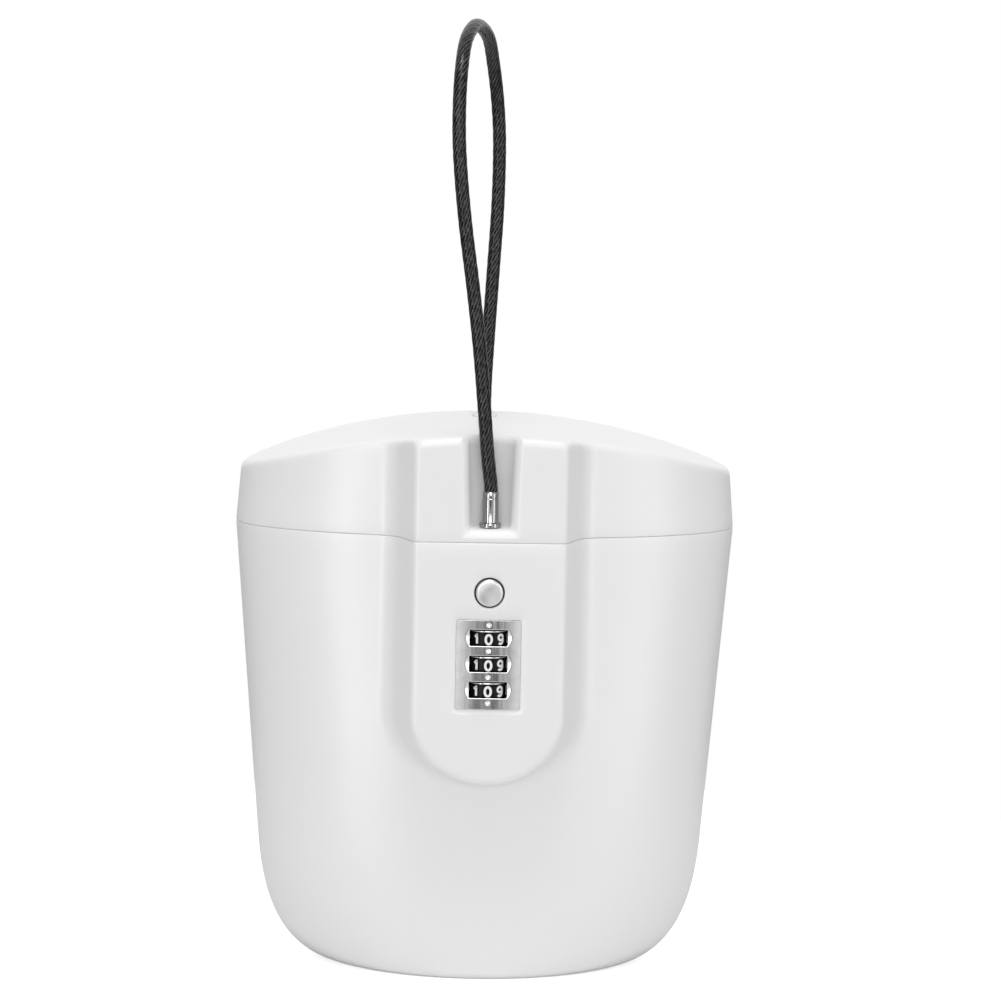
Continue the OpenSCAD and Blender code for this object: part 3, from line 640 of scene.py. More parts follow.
def cut_body(body):
    """Cuts the plate's pocket, the slots and holes in the lock face and the room behind it."""
    half_x, half_z = PLATE_W / 2 + 0.1, PLATE_H / 2 + 0.1
    frame_w = 1.5
    sleeve_half, sleeve_z = 4.2, (92.3, 118.05)
    through_y = (FACE_Y - 1, ROOM_FRONT_Y + 1)
    cutters = [panel("plate_pocket", [
        (half_x + frame_w + 1.2, half_z + frame_w + 1.2, 2.6, FACE_Y - 0.6),
        (half_x + frame_w, half_z + frame_w, 2.2, FACE_Y),
        (half_x, half_z, 0.8, FACE_Y + 0.55),
        (half_x, half_z, 0.8, PLATE_SEAT_Y),
    ], PLATE_Z)]
    for z in WHEEL_Z:
        slot_z = (z - 0.9 - WHEEL_T / 2, z + WHEEL_T / 2 + 0.1)
        cutters.append(block("wheel_slot", WHEEL_R + PLAY, through_y, slot_z))
    cutters.append(block("sleeve_slot", sleeve_half, through_y, sleeve_z))
    hole = BUTTON_R + BUTTON_GAP
    cutters.append(revolve("button_hole", [
        (hole + 1.0, FACE_Y - 0.6), (hole + 0.4, FACE_Y), (hole + 0.12, FACE_Y + 0.12),
        (hole, FACE_Y + 0.4), (hole, ROOM_FRONT_Y + 1),
    ], (0, 0, BUTTON_Z), axis="Y", steps=96))
    room_z = (LOCK_ROOM_LOW_Z, BODY_H - 4.2)
    cutters.append(block("lock_room", LOCK_ROOM_HALF, (ROOM_FRONT_Y, -34.8), room_z))
    cutters.append(revolve("deck_hole", raised(BODY_H, [
        (SHANK_R + 1, -6), (SHANK_R + 1, -0.5), (SHANK_R + 1.5, 0.1),
    ]), (0, LOCK_Y, 0), steps=48))
    return cut(body, cutters)


def knuckle_row(name, first, low, high):
    """Every second knuckle of the hinge from first on, each a barrel run out into a web on the wall."""
    length = (HINGE_LEN - (KNUCKLES - 1) * KNUCKLE_GAP) / KNUCKLES
    bore_r = PIN_R + 0.05
    outline = hinge_outline(low, high)
    pieces = []
    for k in range(first, KNUCKLES, 2):
        x = -HINGE_LEN / 2 + k * (length + KNUCKLE_GAP)
        piece = lofted(name, [[(px, y, z) for y, z in outline] for px in (x, x + length)])
        bore = revolve("bore", [(bore_r, 0), (bore_r, length + 2)], (0, 0, 0), steps=32)
        place = Matrix.Translation(Vector((x - 1, HINGE_Y, BODY_H)) * MM)
        bore.data.transform(place @ Matrix.Rotation(math.pi / 2, 4, "Y"))
        pieces.append(bevel(cut(piece, [bore]), 0.35))
    return joined(name, pieces)


def hinge_outline(low, high):
    """Outline (y, z) of a barrel with a web between heights low and high on the wall."""
    wall_y = HALF_D - 1.2
    far = low if abs(low - BODY_H) > abs(high - BODY_H) else high
    sign = 1 if far > BODY_H else -1
    barrel = arc(HINGE_Y, BODY_H, KNUCKLE_R, -sign * KNUCKLE_R, -55, 175, 24)
    return barrel + [(wall_y, BODY_H + sign * 0.4), (wall_y, far), (HALF_D + 0.1, far)]


def joined(name, objects):
    """One object from several, all at the origin."""
    bm = bmesh.new()
    for obj in objects:
        bm.from_mesh(obj.data)
        bpy.data.objects.remove(obj)
    mesh = bpy.data.meshes.new(name)
    bm.to_mesh(mesh)
    bm.free()
    mesh.shade_smooth()
    mesh.set_sharp_from_angle(angle=math.radians(35))
    return in_scene(name, mesh)


# Wire rope

# From the gland up, over and down into the plug, fitted to the photo
CABLE_ROUTE = [
    (0, 22, 169.5), (0, 22, 178), (0, 22, 186), (0.2, 22, 194), (0.9, 22, 208), (2, 22, 228),
    (3.15, 22.3, 250), (3.35, 22.3, 270), (2.5, 21, 284), (0.55, 15, 297.5), (-1.8, 4, 306.8),
    (-6.1, -12, 310.8), (-9.8, -28, 306.8), (-11.6, -39, 297.5), (-12.3, -45, 284),
    (-11.9, -46.3, 270), (-9.95, -46.5, 250), (-6.9, -46.5, 228), (-4.4, -46.5, 208),
    (-2.65, -46.5, 190), (-1.2, -46.5, 174), (0, -46.5, 164), (0, -46.5, 160), (0, -46.5, 156.5),
]
CABLE_STEP = 0.5
# Strands, their length of twist, the coat over them and how deep the coat sinks between them
STRANDS = 6
LAY = 27.0
COAT = 0.03
COAT_DIP = 0.1


def smooth_route(route, steps):
    """Points of the smooth curve through the route, steps for each of its stretches."""
    p = np.asarray(route, float)
    p = np.vstack([p[:1], p, p[-1:]])
    t = np.linspace(0, 1, steps, endpoint=False)[:, None]
    out = []
    for a, b, c, d in zip(p, p[1:], p[2:], p[3:]):
        square = 2 * a - 5 * b + 4 * c - d
        cube = 3 * b - a - 3 * c + d
        out.append(0.5 * (2 * b + (c - a) * t + square * t ** 2 + cube * t ** 3))
    return np.vstack(out + [p[-1:]])


def even_points(path, spacing):
    """The path's points again, at an even spacing along it, and how far along it each one lies."""
    step = np.linalg.norm(np.diff(path, axis=0), axis=1)
    along = np.concatenate([[0], np.cumsum(step)])
    count = int(round(along[-1] / spacing)) + 1
    places = np.linspace(0, along[-1], count)
    return np.stack([np.interp(places, along, path[:, k]) for k in range(3)], axis=1), places


def make_cable():
    """Rope of twisted strands under a thin coat, swept along its route; also its path and its length."""
    path, along = even_points(smooth_route(CABLE_ROUTE, 40), CABLE_STEP)
    tangent = unit(np.gradient(path, axis=0))
    side = np.array([1.0, 0, 0])
    sides = 72
    angle = np.linspace(0, 2 * math.pi, sides, endpoint=False)
    loops = []
    for p, t, s in zip(path, tangent, along):
        side = side - t * np.dot(side, t)
        side /= np.linalg.norm(side)
        other = np.cross(t, side)
        lobe = np.abs(np.cos(STRANDS / 2 * (angle - 2 * math.pi * s / LAY)))
        radius = CABLE_D / 2 + COAT - COAT_DIP * (1 - lobe) ** 1.6
        loops.append(p + radius[:, None] * (np.cos(angle)[:, None] * side + np.sin(angle)[:, None] * other))
    rope = lofted("cable", loops, 60)
    uv = rope.data.uv_layers.new(name="rope")
    vertex = np.zeros(len(rope.data.loops), int)
    rope.data.loops.foreach_get("vertex_index", vertex)
    around = (vertex % sides) / sides
    length = along[np.minimum(vertex // sides, len(path) - 1)] / LAY
    face_size = np.zeros(len(rope.data.polygons), int)
    rope.data.polygons.foreach_get("loop_total", face_size)
    face_of_loop = np.repeat(np.arange(len(face_size)), face_size)
    seam = np.bincount(face_of_loop, weights=(around > 0.9)) > 0
    around = np.where(seam[face_of_loop] & (around < 0.1), around + 1, around)
    uv.data.foreach_set("uv", np.stack([around, length], axis=1).ravel())
    return rope, path, float(along[-1])


# Lock face and fittings

def make_plate():
    """Gently crowned plate, scooped on both sides of its three windows, with marks between them."""
    half = PLATE_W / 2
    front_y = PLATE_SEAT_Y - PLATE_T
    behind_y = PLATE_SEAT_Y + 1
    pitch = WHEEL_Z[0] - WHEEL_Z[1]

    def through(name, width, height, radius, z):
        """Rounded block from in front of the plate to behind it."""
        size = (width / 2, height / 2, radius)
        return panel(name, [(*size, front_y - 1), (*size, behind_y)], z)

    x = np.linspace(-half, half, 109)
    sections = []
    for z in np.linspace(PLATE_Z - PLATE_H / 2, PLATE_Z + PLATE_H / 2, 109):
        nearest = min(abs(z - w) for w in WHEEL_Z)
        scoop_w = SCOOP_W * max(0.0, math.cos(math.pi * nearest / WINDOW_H))
        past_window = np.maximum(np.abs(x) - WINDOW_W / 2, 0)
        depth = PLATE_CROWN * x ** 2 + SCOOP_SLOPE * np.maximum(scoop_w - past_window, 0)
        front = [(px, front_y + d, z) for px, d in zip(x, depth)]
        sections.append(front + [(half, PLATE_SEAT_Y - 0.03, z), (-half, PLATE_SEAT_Y - 0.03, z)])
    face = lofted("dial_face", sections)
    cut(face, [through("trim", PLATE_W, PLATE_H, PLATE_CORNER_R, PLATE_Z)], operation="INTERSECT")
    cutters = [block("hollow", WHEEL_R - 0.2, (front_y + 1.2, behind_y), (WHEEL_Z[2] - 6, WHEEL_Z[0] + 3))]
    for z in WHEEL_Z:
        cutters.append(through("window", WINDOW_W, WINDOW_H, WINDOW_CORNER_R, z))
    turn = np.linspace(0.01, 3.13, 20)
    ball = [(MARK_R * math.sin(t), front_y - 0.35 - MARK_R * math.cos(t)) for t in turn]
    for k in range(4):
        cutters.append(revolve("mark", ball, (0, 0, WHEEL_Z[0] + pitch * (0.5 - k)), axis="Y", steps=24))
    cut(face, cutters)
    return bevel(face, 0.13, 3, 40, flat=True)


# Pen strokes of the digits, in a square from -0.5 to 0.5
SIX = arc(0.04, 0.1, 0.48, 0.4, 48, 180) + arc(0, -0.2, 0.44, 0.3, 180, -180, 25)
DIGITS = (
    arc(0, 0, 0.5, 0.5, 90, 450, 37),
    [(-0.3, 0.22), (0.12, 0.5), (0.12, -0.5)],
    arc(0, 0.2, 0.46, 0.3, 165, -35) + [(-0.46, -0.5), (0.5, -0.5)],
    arc(-0.02, 0.25, 0.42, 0.25, 150, -90) + arc(-0.02, -0.25, 0.48, 0.25, 90, -150),
    [(0.2, -0.5), (0.2, 0.5), (-0.48, -0.2), (0.5, -0.2)],
    [(0.4, 0.5), (-0.32, 0.5)] + arc(-0.02, -0.18, 0.46, 0.32, 130, -150),
    SIX,
    [(-0.45, 0.5), (0.46, 0.5), (-0.1, -0.5)],
    arc(0, 0.25, 0.4, 0.25, -90, 270, 25) + arc(0, -0.25, 0.47, 0.25, 90, -270, 25),
    [(-x, -y) for x, y in SIX],
)
DIGIT_W = 1.95
DIGIT_H = 2.95
DIGIT_PEN = 0.8
# How far the digits' middle lies below the wheel's, and their faces outside and inside its rim
DIGIT_LOW = 0.5
DIGIT_PROUD = 0.03
DIGIT_SUNK = 0.06


def make_digits(name, z):
    """The ten digits of one wheel, printed round its rim with a broad pen."""
    pieces = []
    for digit, stroke in enumerate(DIGITS):
        line = np.array(stroke) * (DIGIT_W, DIGIT_H)
        path = [line[0]]
        for a, b in zip(line, line[1:]):
            parts = max(1, int(np.linalg.norm(b - a) / 0.25))
            path += [a + (b - a) * k / parts for k in range(1, parts + 1)]
        apart = [p for p, q in zip(path, path[1:]) if np.linalg.norm(p - q) > 1e-4]
        path = np.array(apart + [path[-1]])
        ahead = unit(np.diff(path, axis=0))
        before, after = np.vstack([ahead[:1], ahead]), np.vstack([ahead, ahead[-1:]])
        mitre = before + after
        mitre /= np.maximum(np.sum(mitre * before, axis=1), 0.6)[:, None]
        across = np.stack([-mitre[:, 1], mitre[:, 0]], axis=1) * DIGIT_PEN / 2
        loops = []
        for p, side in zip(path, across):
            loop = []
            for share, rise in ((1, DIGIT_PROUD), (-1, DIGIT_PROUD), (-1, -DIGIT_SUNK), (1, -DIGIT_SUNK)):
                edge = p + share * side
                turn = math.radians(-90 - 36 * digit) + edge[0] / WHEEL_R
                r = WHEEL_R + rise
                loop.append((r * math.cos(turn), r * math.sin(turn) + LOCK_Y, z - DIGIT_LOW + edge[1]))
            loops.append(loop)
        pieces.append(lofted(name, loops))
    return joined(name, pieces)


def make_button():
    """Push button: softly domed cap, flange, stem and square foot, bored for the spreader pin."""
    top = FACE_Y - 0.8
    flange_y = (-49.7, -48.5)
    foot_half, foot_y = 2.4, (-42.1, -39.1)
    bore_r, bore_y = 1.32, -40.6
    profile = raised(top, [(0, 0), (1.5, 0.002), (3.6, 0.01), (3.75, 0.03), (3.88, 0.09), (3.98, 0.16)])
    edge = BUTTON_EDGE_R
    profile += arc(BUTTON_R - edge, top + 0.28 + edge, edge, -edge, 66, 0, 7)
    profile += [
        (BUTTON_R, flange_y[0]), (BUTTON_R + 1, flange_y[0]), (BUTTON_R + 1, flange_y[1]),
        (BUTTON_STEM_R, flange_y[1]), (BUTTON_STEM_R, foot_y[1] - 0.1),
    ]
    cap = revolve("push_button", profile, (0, 0, BUTTON_Z), axis="Y", steps=96)
    foot = block("foot", foot_half, foot_y, (BUTTON_Z - foot_half, BUTTON_Z + foot_half))
    bore = revolve("bore", [(bore_r, BUTTON_Z - 1.6), (bore_r, BUTTON_Z + 4)], (0, bore_y, 0), steps=32)
    return joined("push_button", [cap, bevel(cut(foot, [bore]), 0.2)])


def make_button_shade_ring():
    """Black rubber ring in the gap round the button: painted shade standing in for the shadow in the gap."""
    hole = BUTTON_R + BUTTON_GAP
    front = FACE_Y + 0.7
    back = -50.2
    profile = [(BUTTON_R + 0.05, back), (BUTTON_R + 0.05, front + 0.15), (BUTTON_R + 0.15, front)]
    profile += [(hole - 0.1, front), (hole, front + 0.1), (hole, back)]
    return revolve("button_shade_ring", profile, (0, 0, BUTTON_Z), axis="Y", steps=96, ring=True)


def make_wheel_ring(name, z):
    """Thin bright ring round a number wheel, above its digits."""
    profile = arc(WHEEL_R, z + WHEEL_RING_H, WHEEL_RING_R, WHEEL_RING_R, 0, 330, 12)
    return revolve(name, profile, (0, LOCK_Y, 0), steps=96, ring=True)


def make_plug():
    """Turned plug: cone and neck for the latch, flange on the ledge, ferrule on the cable."""
    profile = raised(CLIP_Z - 3.1, [(0, 0), (1.2, 0), (1.6, 0.15)])
    profile += raised(CLIP_Z, [
        (2.4, -1.5), (2.5, -1.3), (2.5, -0.9), (2.4, -0.8), (NECK_R, -0.8), (NECK_R, 0.8), (2.45, 1.0),
        (SHANK_R, 1.3),
    ])
    profile += raised(FLANGE_Z, [
        (SHANK_R, 0), (FLANGE_R - 0.25, 0), (FLANGE_R - 0.06, 0.08), (FLANGE_R, 0.3), (FLANGE_R, 1.2),
        (FLANGE_R - 0.08, 1.42), (FLANGE_R - 0.3, 1.55), (SHANK_R + 0.25, 1.62), (SHANK_R + 0.07, 1.72),
        (SHANK_R, 1.95),
    ])
    profile += raised(FERRULE_Z, [
        (SHANK_R, -2.3), (SHANK_R - 0.12, -2.15), (SHANK_R - 0.12, -1.95), (SHANK_R, -1.8), (SHANK_R, -0.5),
        (SHANK_R - 0.1, -0.2), (SHANK_R - 0.35, 0), (2.15, 0), (2.06, -0.15), (2.06, -6), (0, -6),
    ])
    return revolve("turned_plug", profile, (0, LOCK_Y, 0), steps=96, smooth_angle=38)


def make_gland():
    """Low soft collar that keeps the cable from chafing on the lid."""
    r = CABLE_D / 2 + 0.08
    top = CROWN_Z + 1.4
    profile = raised(CROWN_Z, [
        (r, -3), (3.4, -3), (3.4, 0.02), (4.2, 0.02), (4.2, 0.2), (4.12, 0.4), (3.9, 0.52), (3.6, 0.56),
        (3.5, 0.62),
    ])
    profile += arc(2.75, top - 0.6, 0.6, 0.6, 0, 90, 7)
    profile += [(2.45, top), (2.25, top - 0.12), (r, top - 0.45)]
    return revolve("gland", profile, (0, ANCHOR_Y, 0), steps=64, ring=True)


def make_coil(name, start, axis, coil_r, length):
    """Coil spring whose first and last turns lie flat."""
    turns, wire_r = SPRING_TURNS, SPRING_WIRE_R
    k = np.linspace(0, turns + 1, (turns + 1) * 24 + 1)
    rise = wire_r + (length - 2 * wire_r) * smooth_step(np.clip(k - 0.5, 0, turns) / turns * 0.94 + 0.03)
    turn = 2 * math.pi * k
    path = np.stack([coil_r * np.cos(turn), coil_r * np.sin(turn), rise], axis=1)
    tangent = unit(np.gradient(path, axis=0))
    side = np.stack([np.cos(turn), np.sin(turn), np.zeros(len(turn))], axis=1)
    other = np.cross(tangent, side)
    around = np.linspace(0, 2 * math.pi, 11)[:-1]
    loops = []
    for p, u, v in zip(path, side, other):
        loops.append([p + wire_r * (math.cos(a) * u + math.sin(a) * v) for a in around])
    loops = np.asarray(loops)
    if axis == "Y":
        loops = loops[..., [0, 2, 1]] * (1, 1, -1)
    return lofted(name, loops + np.asarray(start, float))


# Materials

def set_inputs(node, inputs):
    """Sets a node's inputs to values, or joins them to the outputs of other nodes."""
    for name, value in inputs.items():
        if isinstance(value, bpy.types.NodeSocket):
            node.id_data.links.new(value, node.inputs[name])
        else:
            node.inputs[name].default_value = value
    return node


def new_node(tree, kind, inputs=()):
    """New node with these inputs."""
    return set_inputs(tree.nodes.new(kind), dict(inputs))


def shader_of(made):
    """The one shader of a material."""
    return made.node_tree.nodes["Principled BSDF"]


def material(name, colour, roughness, metallic=0.0, gloss=0.5):
    """Material with one shader."""
    made = bpy.data.materials.new(name)
    made.use_nodes = True
    set_inputs(shader_of(made), {
        "Base Color": (*colour, 1), "Roughness": roughness,
        "Metallic": metallic, "Specular IOR Level": gloss,
    })
    return made


def maths(tree, operation, a, b=None):
    """Result of one sum in a node tree; a and b are numbers or outputs."""
    node = tree.nodes.new("ShaderNodeMath")
    node.operation = operation
    for socket, value in zip(node.inputs, (a, b)):
        if isinstance(value, (int, float)):
            socket.default_value = value
        elif value is not None:
            tree.links.new(value, socket)
    return node.outputs[0]


def map_range(tree, value, start, end, low=0.0, high=1.0):
    """Node that goes from low to high as the value goes from start to end."""
    return new_node(tree, "ShaderNodeMapRange", {
        "Value": value, "From Min": start, "From Max": end, "To Min": low, "To Max": high,
    })


def noise_on(made, scale, detail=3.0, stretch=(1, 1, 1)):
    """Noise texture on the object's own coordinates, in features per metre."""
    tree = made.node_tree
    place = new_node(tree, "ShaderNodeTexCoord")
    mapping = new_node(tree, "ShaderNodeMapping", {"Vector": place.outputs["Object"], "Scale": stretch})
    texture = new_node(tree, "ShaderNodeTexNoise", {
        "Vector": mapping.outputs["Vector"], "Scale": scale, "Detail": detail,
    })
    return texture.outputs["Fac"]


def vary(made, source, target, low, high, start=0.3, end=0.7):
    """Drives a colour or number of the material's shader from low to high by a texture."""
    tree = made.node_tree
    if isinstance(low, tuple):
        ramp = new_node(tree, "ShaderNodeValToRGB", {"Fac": source})
        for element, position, colour in zip(ramp.color_ramp.elements, (start, end), (low, high)):
            element.position = position
            element.color = (*colour, 1)
        result = ramp.outputs["Color"]
    else:
        result = map_range(tree, source, start, end, low, high).outputs["Result"]
    set_inputs(shader_of(made), {target: result})


def bump(made, source, strength, distance):
    """Relief on the surface from a texture, distance in millimetres."""
    node = new_node(made.node_tree, "ShaderNodeBump", {
        "Strength": strength, "Distance": distance * MM, "Height": source,
    })
    set_inputs(shader_of(made), {"Normal": node.outputs["Normal"]})


def plastic(name, dark, light, roughness, grain=2600, strength=0.12, gloss=0.5):
    """Moulded plastic: faint cloudiness in its colour, uneven gloss and a fine spark texture."""
    made = material(name, light, roughness, gloss=gloss)
    vary(made, noise_on(made, 22, 2), "Base Color", dark, light, 0.0, 1.0)
    vary(made, noise_on(made, 120, 2), "Roughness", roughness - 0.02, roughness + 0.02, 0.0, 1.0)
    bump(made, noise_on(made, grain, 4), strength, 0.02)
    return made


def metal(name, colour, roughness, stretch=(1, 1, 1), strength=0.15, tone=0.9, grain=900):
    """Metal with fine tool marks along one direction and slight stains."""
    made = material(name, colour, roughness, 1.0)
    dark = tuple(c * tone for c in colour)
    vary(made, noise_on(made, 300, 3), "Base Color", dark, colour)
    vary(made, noise_on(made, grain, 4, stretch), "Roughness", roughness * 0.8, roughness * 1.35)
    bump(made, noise_on(made, 1800, 3, stretch), strength, 0.01)
    return made


# Painted glints of fine wires in one turn round the rope
WIRES = 12


def cable_material():
    """Black coated wire rope: thin slanted glints of its fine wires painted into its colour, the same
    pattern giving the strands' relief.
    """
    made = material("cable_black", (0.02, 0.02, 0.021), 0.24, gloss=0.25)
    tree = made.node_tree
    place = new_node(tree, "ShaderNodeUVMap")
    place.uv_map = "rope"
    split = new_node(tree, "ShaderNodeSeparateXYZ", {"Vector": place.outputs["UV"]})
    wires = maths(tree, "SUBTRACT", split.outputs["X"], split.outputs["Y"])
    wave = maths(tree, "SINE", maths(tree, "MULTIPLY", wires, WIRES * 2 * math.pi))
    wave = maths(tree, "ADD", maths(tree, "MULTIPLY", wave, 0.5), 0.5)
    painted_glints_and_relief = maths(tree, "MULTIPLY", wave, noise_on(made, 500, 4))
    # Lighter slanted lines in the base colour: painted glints of the wires
    vary(made, painted_glints_and_relief, "Base Color", (0.001, 0.001, 0.001), (0.09, 0.09, 0.092), 0.2, 0.62)
    bump(made, painted_glints_and_relief, 0.6, 0.08)
    return made


def paint(obj, made):
    """Gives the whole object one material."""
    obj.data.materials.clear()
    obj.data.materials.append(made)


# Studio

# Camera fitted to the photo: degrees, then millimetres, then pixels of the photo
CAMERA_AZIMUTH = -2.1
CAMERA_PITCH = 6.9
CAMERA_ROLL = 1.1
CAMERA_DISTANCE = 1640
CAMERA_HEIGHT = 352
PHOTO_SIZE = 1001
FOCAL_LENGTH = 4976
AIM_RIGHT = 15.3

# Floor, and its glow to the camera
FLOOR_R = 330.0
FLOOR_GLOW = 0.72

# Light of the room, ahead and above and then to the sides: for matt surfaces, and as mirrored
SKY = (0.77, 0.52)
MIRRORED = (0.92, 0.3)
# Where the sides start and are full, as the sideways part of a direction
SIDE = (0.35, 0.85)

# Dark patch in front: degrees to the right and down, radii of its soft edge and its core, and its share
DARK_RIGHT = 2
DARK_DOWN = 8
DARK_EDGE = 14
DARK_CORE = 7
DARK_SHARE = 0.93

# Dimmer patch low behind: where it starts and is full in y and in z, and its share
BEHIND_Y = (0.3, 0.6)
BEHIND_Z = (-0.04, -0.1)
BEHIND_SHARE = 0.6

# Lamps and reflector panels: place, target, size, power, and whether they light matt surfaces
LAMPS = {
    "top": ((0, -0.35, 1.4), (0, 0, 0.1), (0.45, 0.35), 5.4, True),
    "front": ((0, -1.75, 0.5), (0, 0, 0.12), (0.9, 0.35), 4.4, True),
    "left_panel": ((-0.98, -1.26, 0.3), (0, 0, 0.3), (0.22, 1.5), 6.5, False),
    "right_panel": ((1.24, -1.01, 0.3), (0, 0, 0.3), (0.5, 1.5), 5.5, False),
    "high_panel": ((-0.1, -1.24, 1.1), (0, 0, 0.25), (0.45, 0.95), 4, False),
}


def make_camera():
    """Long lens just left of the middle and a little above, rolled as the photograph is."""
    azimuth, pitch, roll = np.radians((CAMERA_AZIMUTH, CAMERA_PITCH, CAMERA_ROLL)).tolist()
    heading = -azimuth + math.atan(AIM_RIGHT / FOCAL_LENGTH)
    ahead = Vector((
        math.sin(heading) * math.cos(pitch), math.cos(heading) * math.cos(pitch), -math.sin(pitch),
    ))
    right = Vector((math.cos(heading), -math.sin(heading), 0))
    up = right.cross(ahead)
    turned_right = math.cos(roll) * right + math.sin(roll) * up
    turned_up = -math.sin(roll) * right + math.cos(roll) * up
    data = bpy.data.cameras.new("camera")
    data.sensor_width = 36
    data.lens = FOCAL_LENGTH * data.sensor_width / PHOTO_SIZE
    data.clip_end = 50
    camera = in_scene("camera", data)
    axes = Matrix((turned_right, turned_up, -ahead)).transposed()
    place = Vector((
        CAMERA_DISTANCE * math.sin(azimuth), -CAMERA_DISTANCE * math.cos(azimuth), CAMERA_HEIGHT,
    )) * MM
    camera.matrix_world = Matrix.Translation(place) @ axes.to_4x4()
    bpy.context.scene.camera = camera


def area_light(name, place, target, size, power, lights_matt):
    """Rectangular lamp, or a panel that only shows as mirrored and doesn't light matt surfaces."""
    data = bpy.data.lights.new(name, "AREA")
    data.shape = "RECTANGLE"
    data.size, data.size_y = size
    data.energy = power
    lamp = in_scene(name, data)
    lamp.location = place
    lamp.rotation_euler = (Vector(target) - Vector(place)).to_track_quat("-Z", "Y").to_euler()
    lamp.visible_diffuse = lights_matt
    lamp.visible_camera = False


def make_floor():
    """Pale floor that keeps the shadow and looks white to the camera."""
    floor = revolve("floor", [(0, -2), (FLOOR_R, -2), (FLOOR_R, -0.1), (0, -0.1)], (0, 0, 0), steps=96)
    made = material("floor_white", (0.8, 0.8, 0.8), 0.9, gloss=0.0)
    vary(made, noise_on(made, 8, 2), "Base Color", (0.79, 0.79, 0.79), (0.81, 0.81, 0.81))
    rays = new_node(made.node_tree, "ShaderNodeLightPath").outputs
    glow = maths(made.node_tree, "MULTIPLY", rays["Is Camera Ray"], FLOOR_GLOW)
    set_inputs(shader_of(made), {"Emission Color": (1, 1, 1, 1), "Emission Strength": glow})
    paint(floor, made)


def make_world():
    """Room: plain white to the camera, dimmer to both sides as light, with darker patches as mirrored."""
    world = bpy.data.worlds.new("studio")
    world.use_nodes = True
    bpy.context.scene.world = world
    tree = world.node_tree
    place = new_node(tree, "ShaderNodeTexCoord")
    way = new_node(tree, "ShaderNodeSeparateXYZ", {"Vector": place.outputs["Generated"]}).outputs

    def span(value, start, end):
        """Softly from 0 to 1 as the value goes from start to end."""
        node = map_range(tree, value, start, end)
        node.interpolation_type = "SMOOTHSTEP"
        return node.outputs["Result"]

    def mix(share, a, b):
        """a where the share is 0, b where it is 1."""
        return maths(tree, "ADD", a, maths(tree, "MULTIPLY", share, maths(tree, "SUBTRACT", b, a)))

    def dimmed(value, patch, share):
        """The value, less this share of it inside the patch."""
        rest = maths(tree, "SUBTRACT", 1.0, maths(tree, "MULTIPLY", patch, share))
        return maths(tree, "MULTIPLY", value, rest)

    to_side = span(maths(tree, "ABSOLUTE", way["X"]), *SIDE)
    right, down, edge, core = np.radians((DARK_RIGHT, DARK_DOWN, DARK_EDGE, DARK_CORE)).tolist()
    ahead = (math.sin(right), -math.cos(down), -math.sin(down))
    along = maths(tree, "MULTIPLY", way["X"], ahead[0])
    for axis, share in (("Y", ahead[1]), ("Z", ahead[2])):
        along = maths(tree, "ADD", along, maths(tree, "MULTIPLY", way[axis], share))
    dark = span(along, math.cos(edge), math.cos(core))
    mirrored = dimmed(mix(to_side, *MIRRORED), dark, DARK_SHARE)
    behind = maths(tree, "MULTIPLY", span(way["Y"], *BEHIND_Y), span(way["Z"], *BEHIND_Z))
    mirrored = dimmed(mirrored, behind, BEHIND_SHARE)
    rays = new_node(tree, "ShaderNodeLightPath").outputs
    level = mix(rays["Is Glossy Ray"], mix(to_side, *SKY), mirrored)
    seen = maths(tree, "MAXIMUM", rays["Is Camera Ray"], rays["Is Transmission Ray"])
    set_inputs(tree.nodes["Background"], {"Strength": mix(seen, level, 1.0), "Color": (1, 1, 1, 1)})


# Making

make_camera()

cable, cable_path, cable_length = make_cable()
plug = make_plug()
gland = make_gland()
paint(cable, cable_material())
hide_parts("cable_loop")
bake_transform(cable)
for piece, body, node in ((plug, "plug", "cable_plug"), (gland, "lid", "cable_gland")):
    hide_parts(node)
    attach(piece, body)

case_shell = cut_body(make_body())
lid_skin = cut_lid(make_lid())
case_knuckles = knuckle_row("case_knuckles", 0, BODY_H - 8, BODY_H)
lid_knuckles = knuckle_row("lid_knuckles", 1, BODY_H, LID_FOOT_Z + 5.6)
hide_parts("body_shell")
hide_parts("lid_shell")
white = plastic("abs_white", (0.855, 0.855, 0.855), (0.87, 0.87, 0.87), 0.31, strength=0.025)
for piece, body in ((case_shell, "case"), (case_knuckles, "case"), (lid_skin, "lid"), (lid_knuckles, "lid")):
    paint(piece, white)
    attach(piece, body)

plate = make_plate()
paint(plate, metal("chrome_plate", (0.8, 0.8, 0.8), 0.2, (1, 1, 0.05)))
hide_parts("dial_plate")
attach(plate, "case")

button = make_button()
paint(button, metal("button_silver", (0.76, 0.76, 0.76), 0.37, strength=0.04, grain=120))
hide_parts("release_button")
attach(button, "button")

# Black ring in the button's gap: painted shade where the gap lies in shadow; its rubber is also the real rim
# seal's
button_shade_ring = make_button_shade_ring()
rubber = plastic("seal_rubber", (0.012, 0.012, 0.012), (0.02, 0.02, 0.02), 0.6, 1500, 0.4)
paint(button_shade_ring, rubber)
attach(button_shade_ring, "case")

digit_white = plastic("digit_white", (0.8, 0.8, 0.8), (0.9, 0.9, 0.9), 0.5, 3000)
ring_steel = metal("ring_steel", (0.75, 0.75, 0.76), 0.15)
for k, z in enumerate(WHEEL_Z):
    digits = make_digits(f"digits_{k + 1}", z)
    paint(digits, digit_white)
    bright_ring = make_wheel_ring(f"wheel_ring_{k + 1}", z)
    paint(bright_ring, ring_steel)
    for piece in (digits, bright_ring):
        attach(piece, f"dial_{k + 1}")

paint(plug, metal("plug_chrome", (0.36, 0.36, 0.36), 0.12, (1, 1, 12)))
paint(gland, plastic("gland_rubber", (0.82, 0.82, 0.82), (0.86, 0.86, 0.86), 0.6))

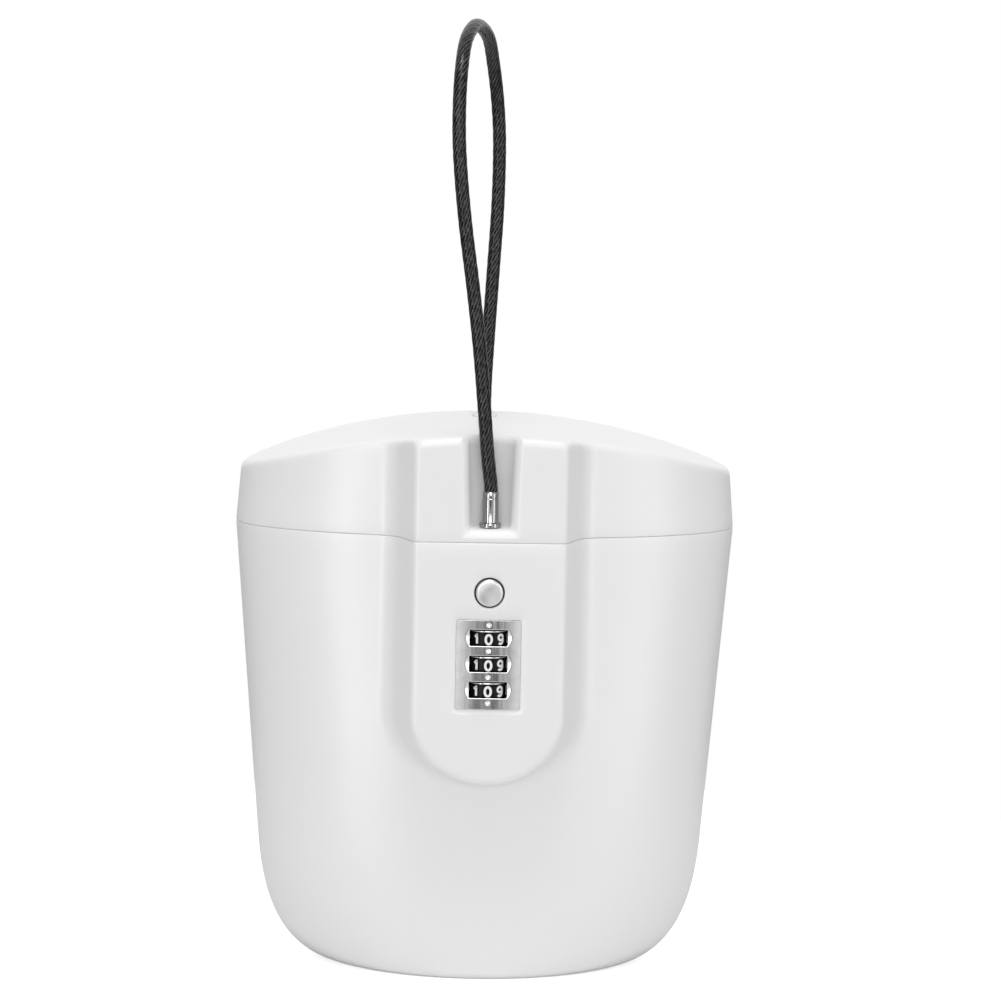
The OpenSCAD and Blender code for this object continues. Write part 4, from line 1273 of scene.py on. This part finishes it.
spring_steel = metal("spring_steel", (0.45, 0.45, 0.46), 0.36)
low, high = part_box("clutch_spring")
clutch_coil = make_coil("clutch_coil", (0, LOCK_Y, low.z / MM), "Z", CLUTCH_COIL_R, (high.z - low.z) / MM)
low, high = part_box("button_spring")
button_coil = make_coil("button_coil", (0, low.y / MM, BUTTON_Z), "Y", BUTTON_COIL_R, (high.y - low.y) / MM)
for piece, node in ((clutch_coil, "clutch_spring"), (button_coil, "button_spring")):
    paint(piece, spring_steel)
    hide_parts(node)
    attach(piece, "case")

# Each spring gets a mesh of its own
low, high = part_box("clutch_spring")
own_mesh(clutch_coil)
low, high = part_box("button_spring")
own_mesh(button_coil)

steel = metal("steel", (0.6, 0.6, 0.61), 0.36)
inner_plastic = plastic("inner_plastic", (0.68, 0.68, 0.67), (0.73, 0.73, 0.72), 0.5, 1200, 0.3)
finishes = {
    steel: (
        "hinge_pin", "cover_screws", "dial_spindle", "fence_plate", "spreader_pin", "anchor_washer",
        "anchor_screws",
    ),
    inner_plastic: ("lock_cover", "anchor_cover"),
    plastic("slide_grey", (0.13, 0.13, 0.14), (0.17, 0.17, 0.18), 0.45, 1500, 0.3): ("code_slide",),
    plastic("wheel_black", (0.003, 0.003, 0.003), (0.006, 0.006, 0.006), 0.3, gloss=0.12): (
        "dial_wheel_1", "dial_wheel_2", "dial_wheel_3",
    ),
    metal("lock_zinc", (0.5, 0.5, 0.51), 0.45, strength=0.4): ("lock_frame",),
    metal("sleeve_brass", (0.72, 0.55, 0.25), 0.36): (
        "clutch_sleeve_1", "clutch_sleeve_2", "clutch_sleeve_3",
    ),
    metal("sleeve_aluminium", (0.68, 0.68, 0.69), 0.35): ("anchor_sleeve",),
    spring_steel: ("detent_spring", "latch_clip"),
    rubber: ("rim_seal",),
}
for made, names in finishes.items():
    for node in names:
        paint(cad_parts[node], made)

make_floor()
make_world()
for name, settings in LAMPS.items():
    area_light(name, *settings)
bpy.context.scene.view_settings.view_transform = "Standard"
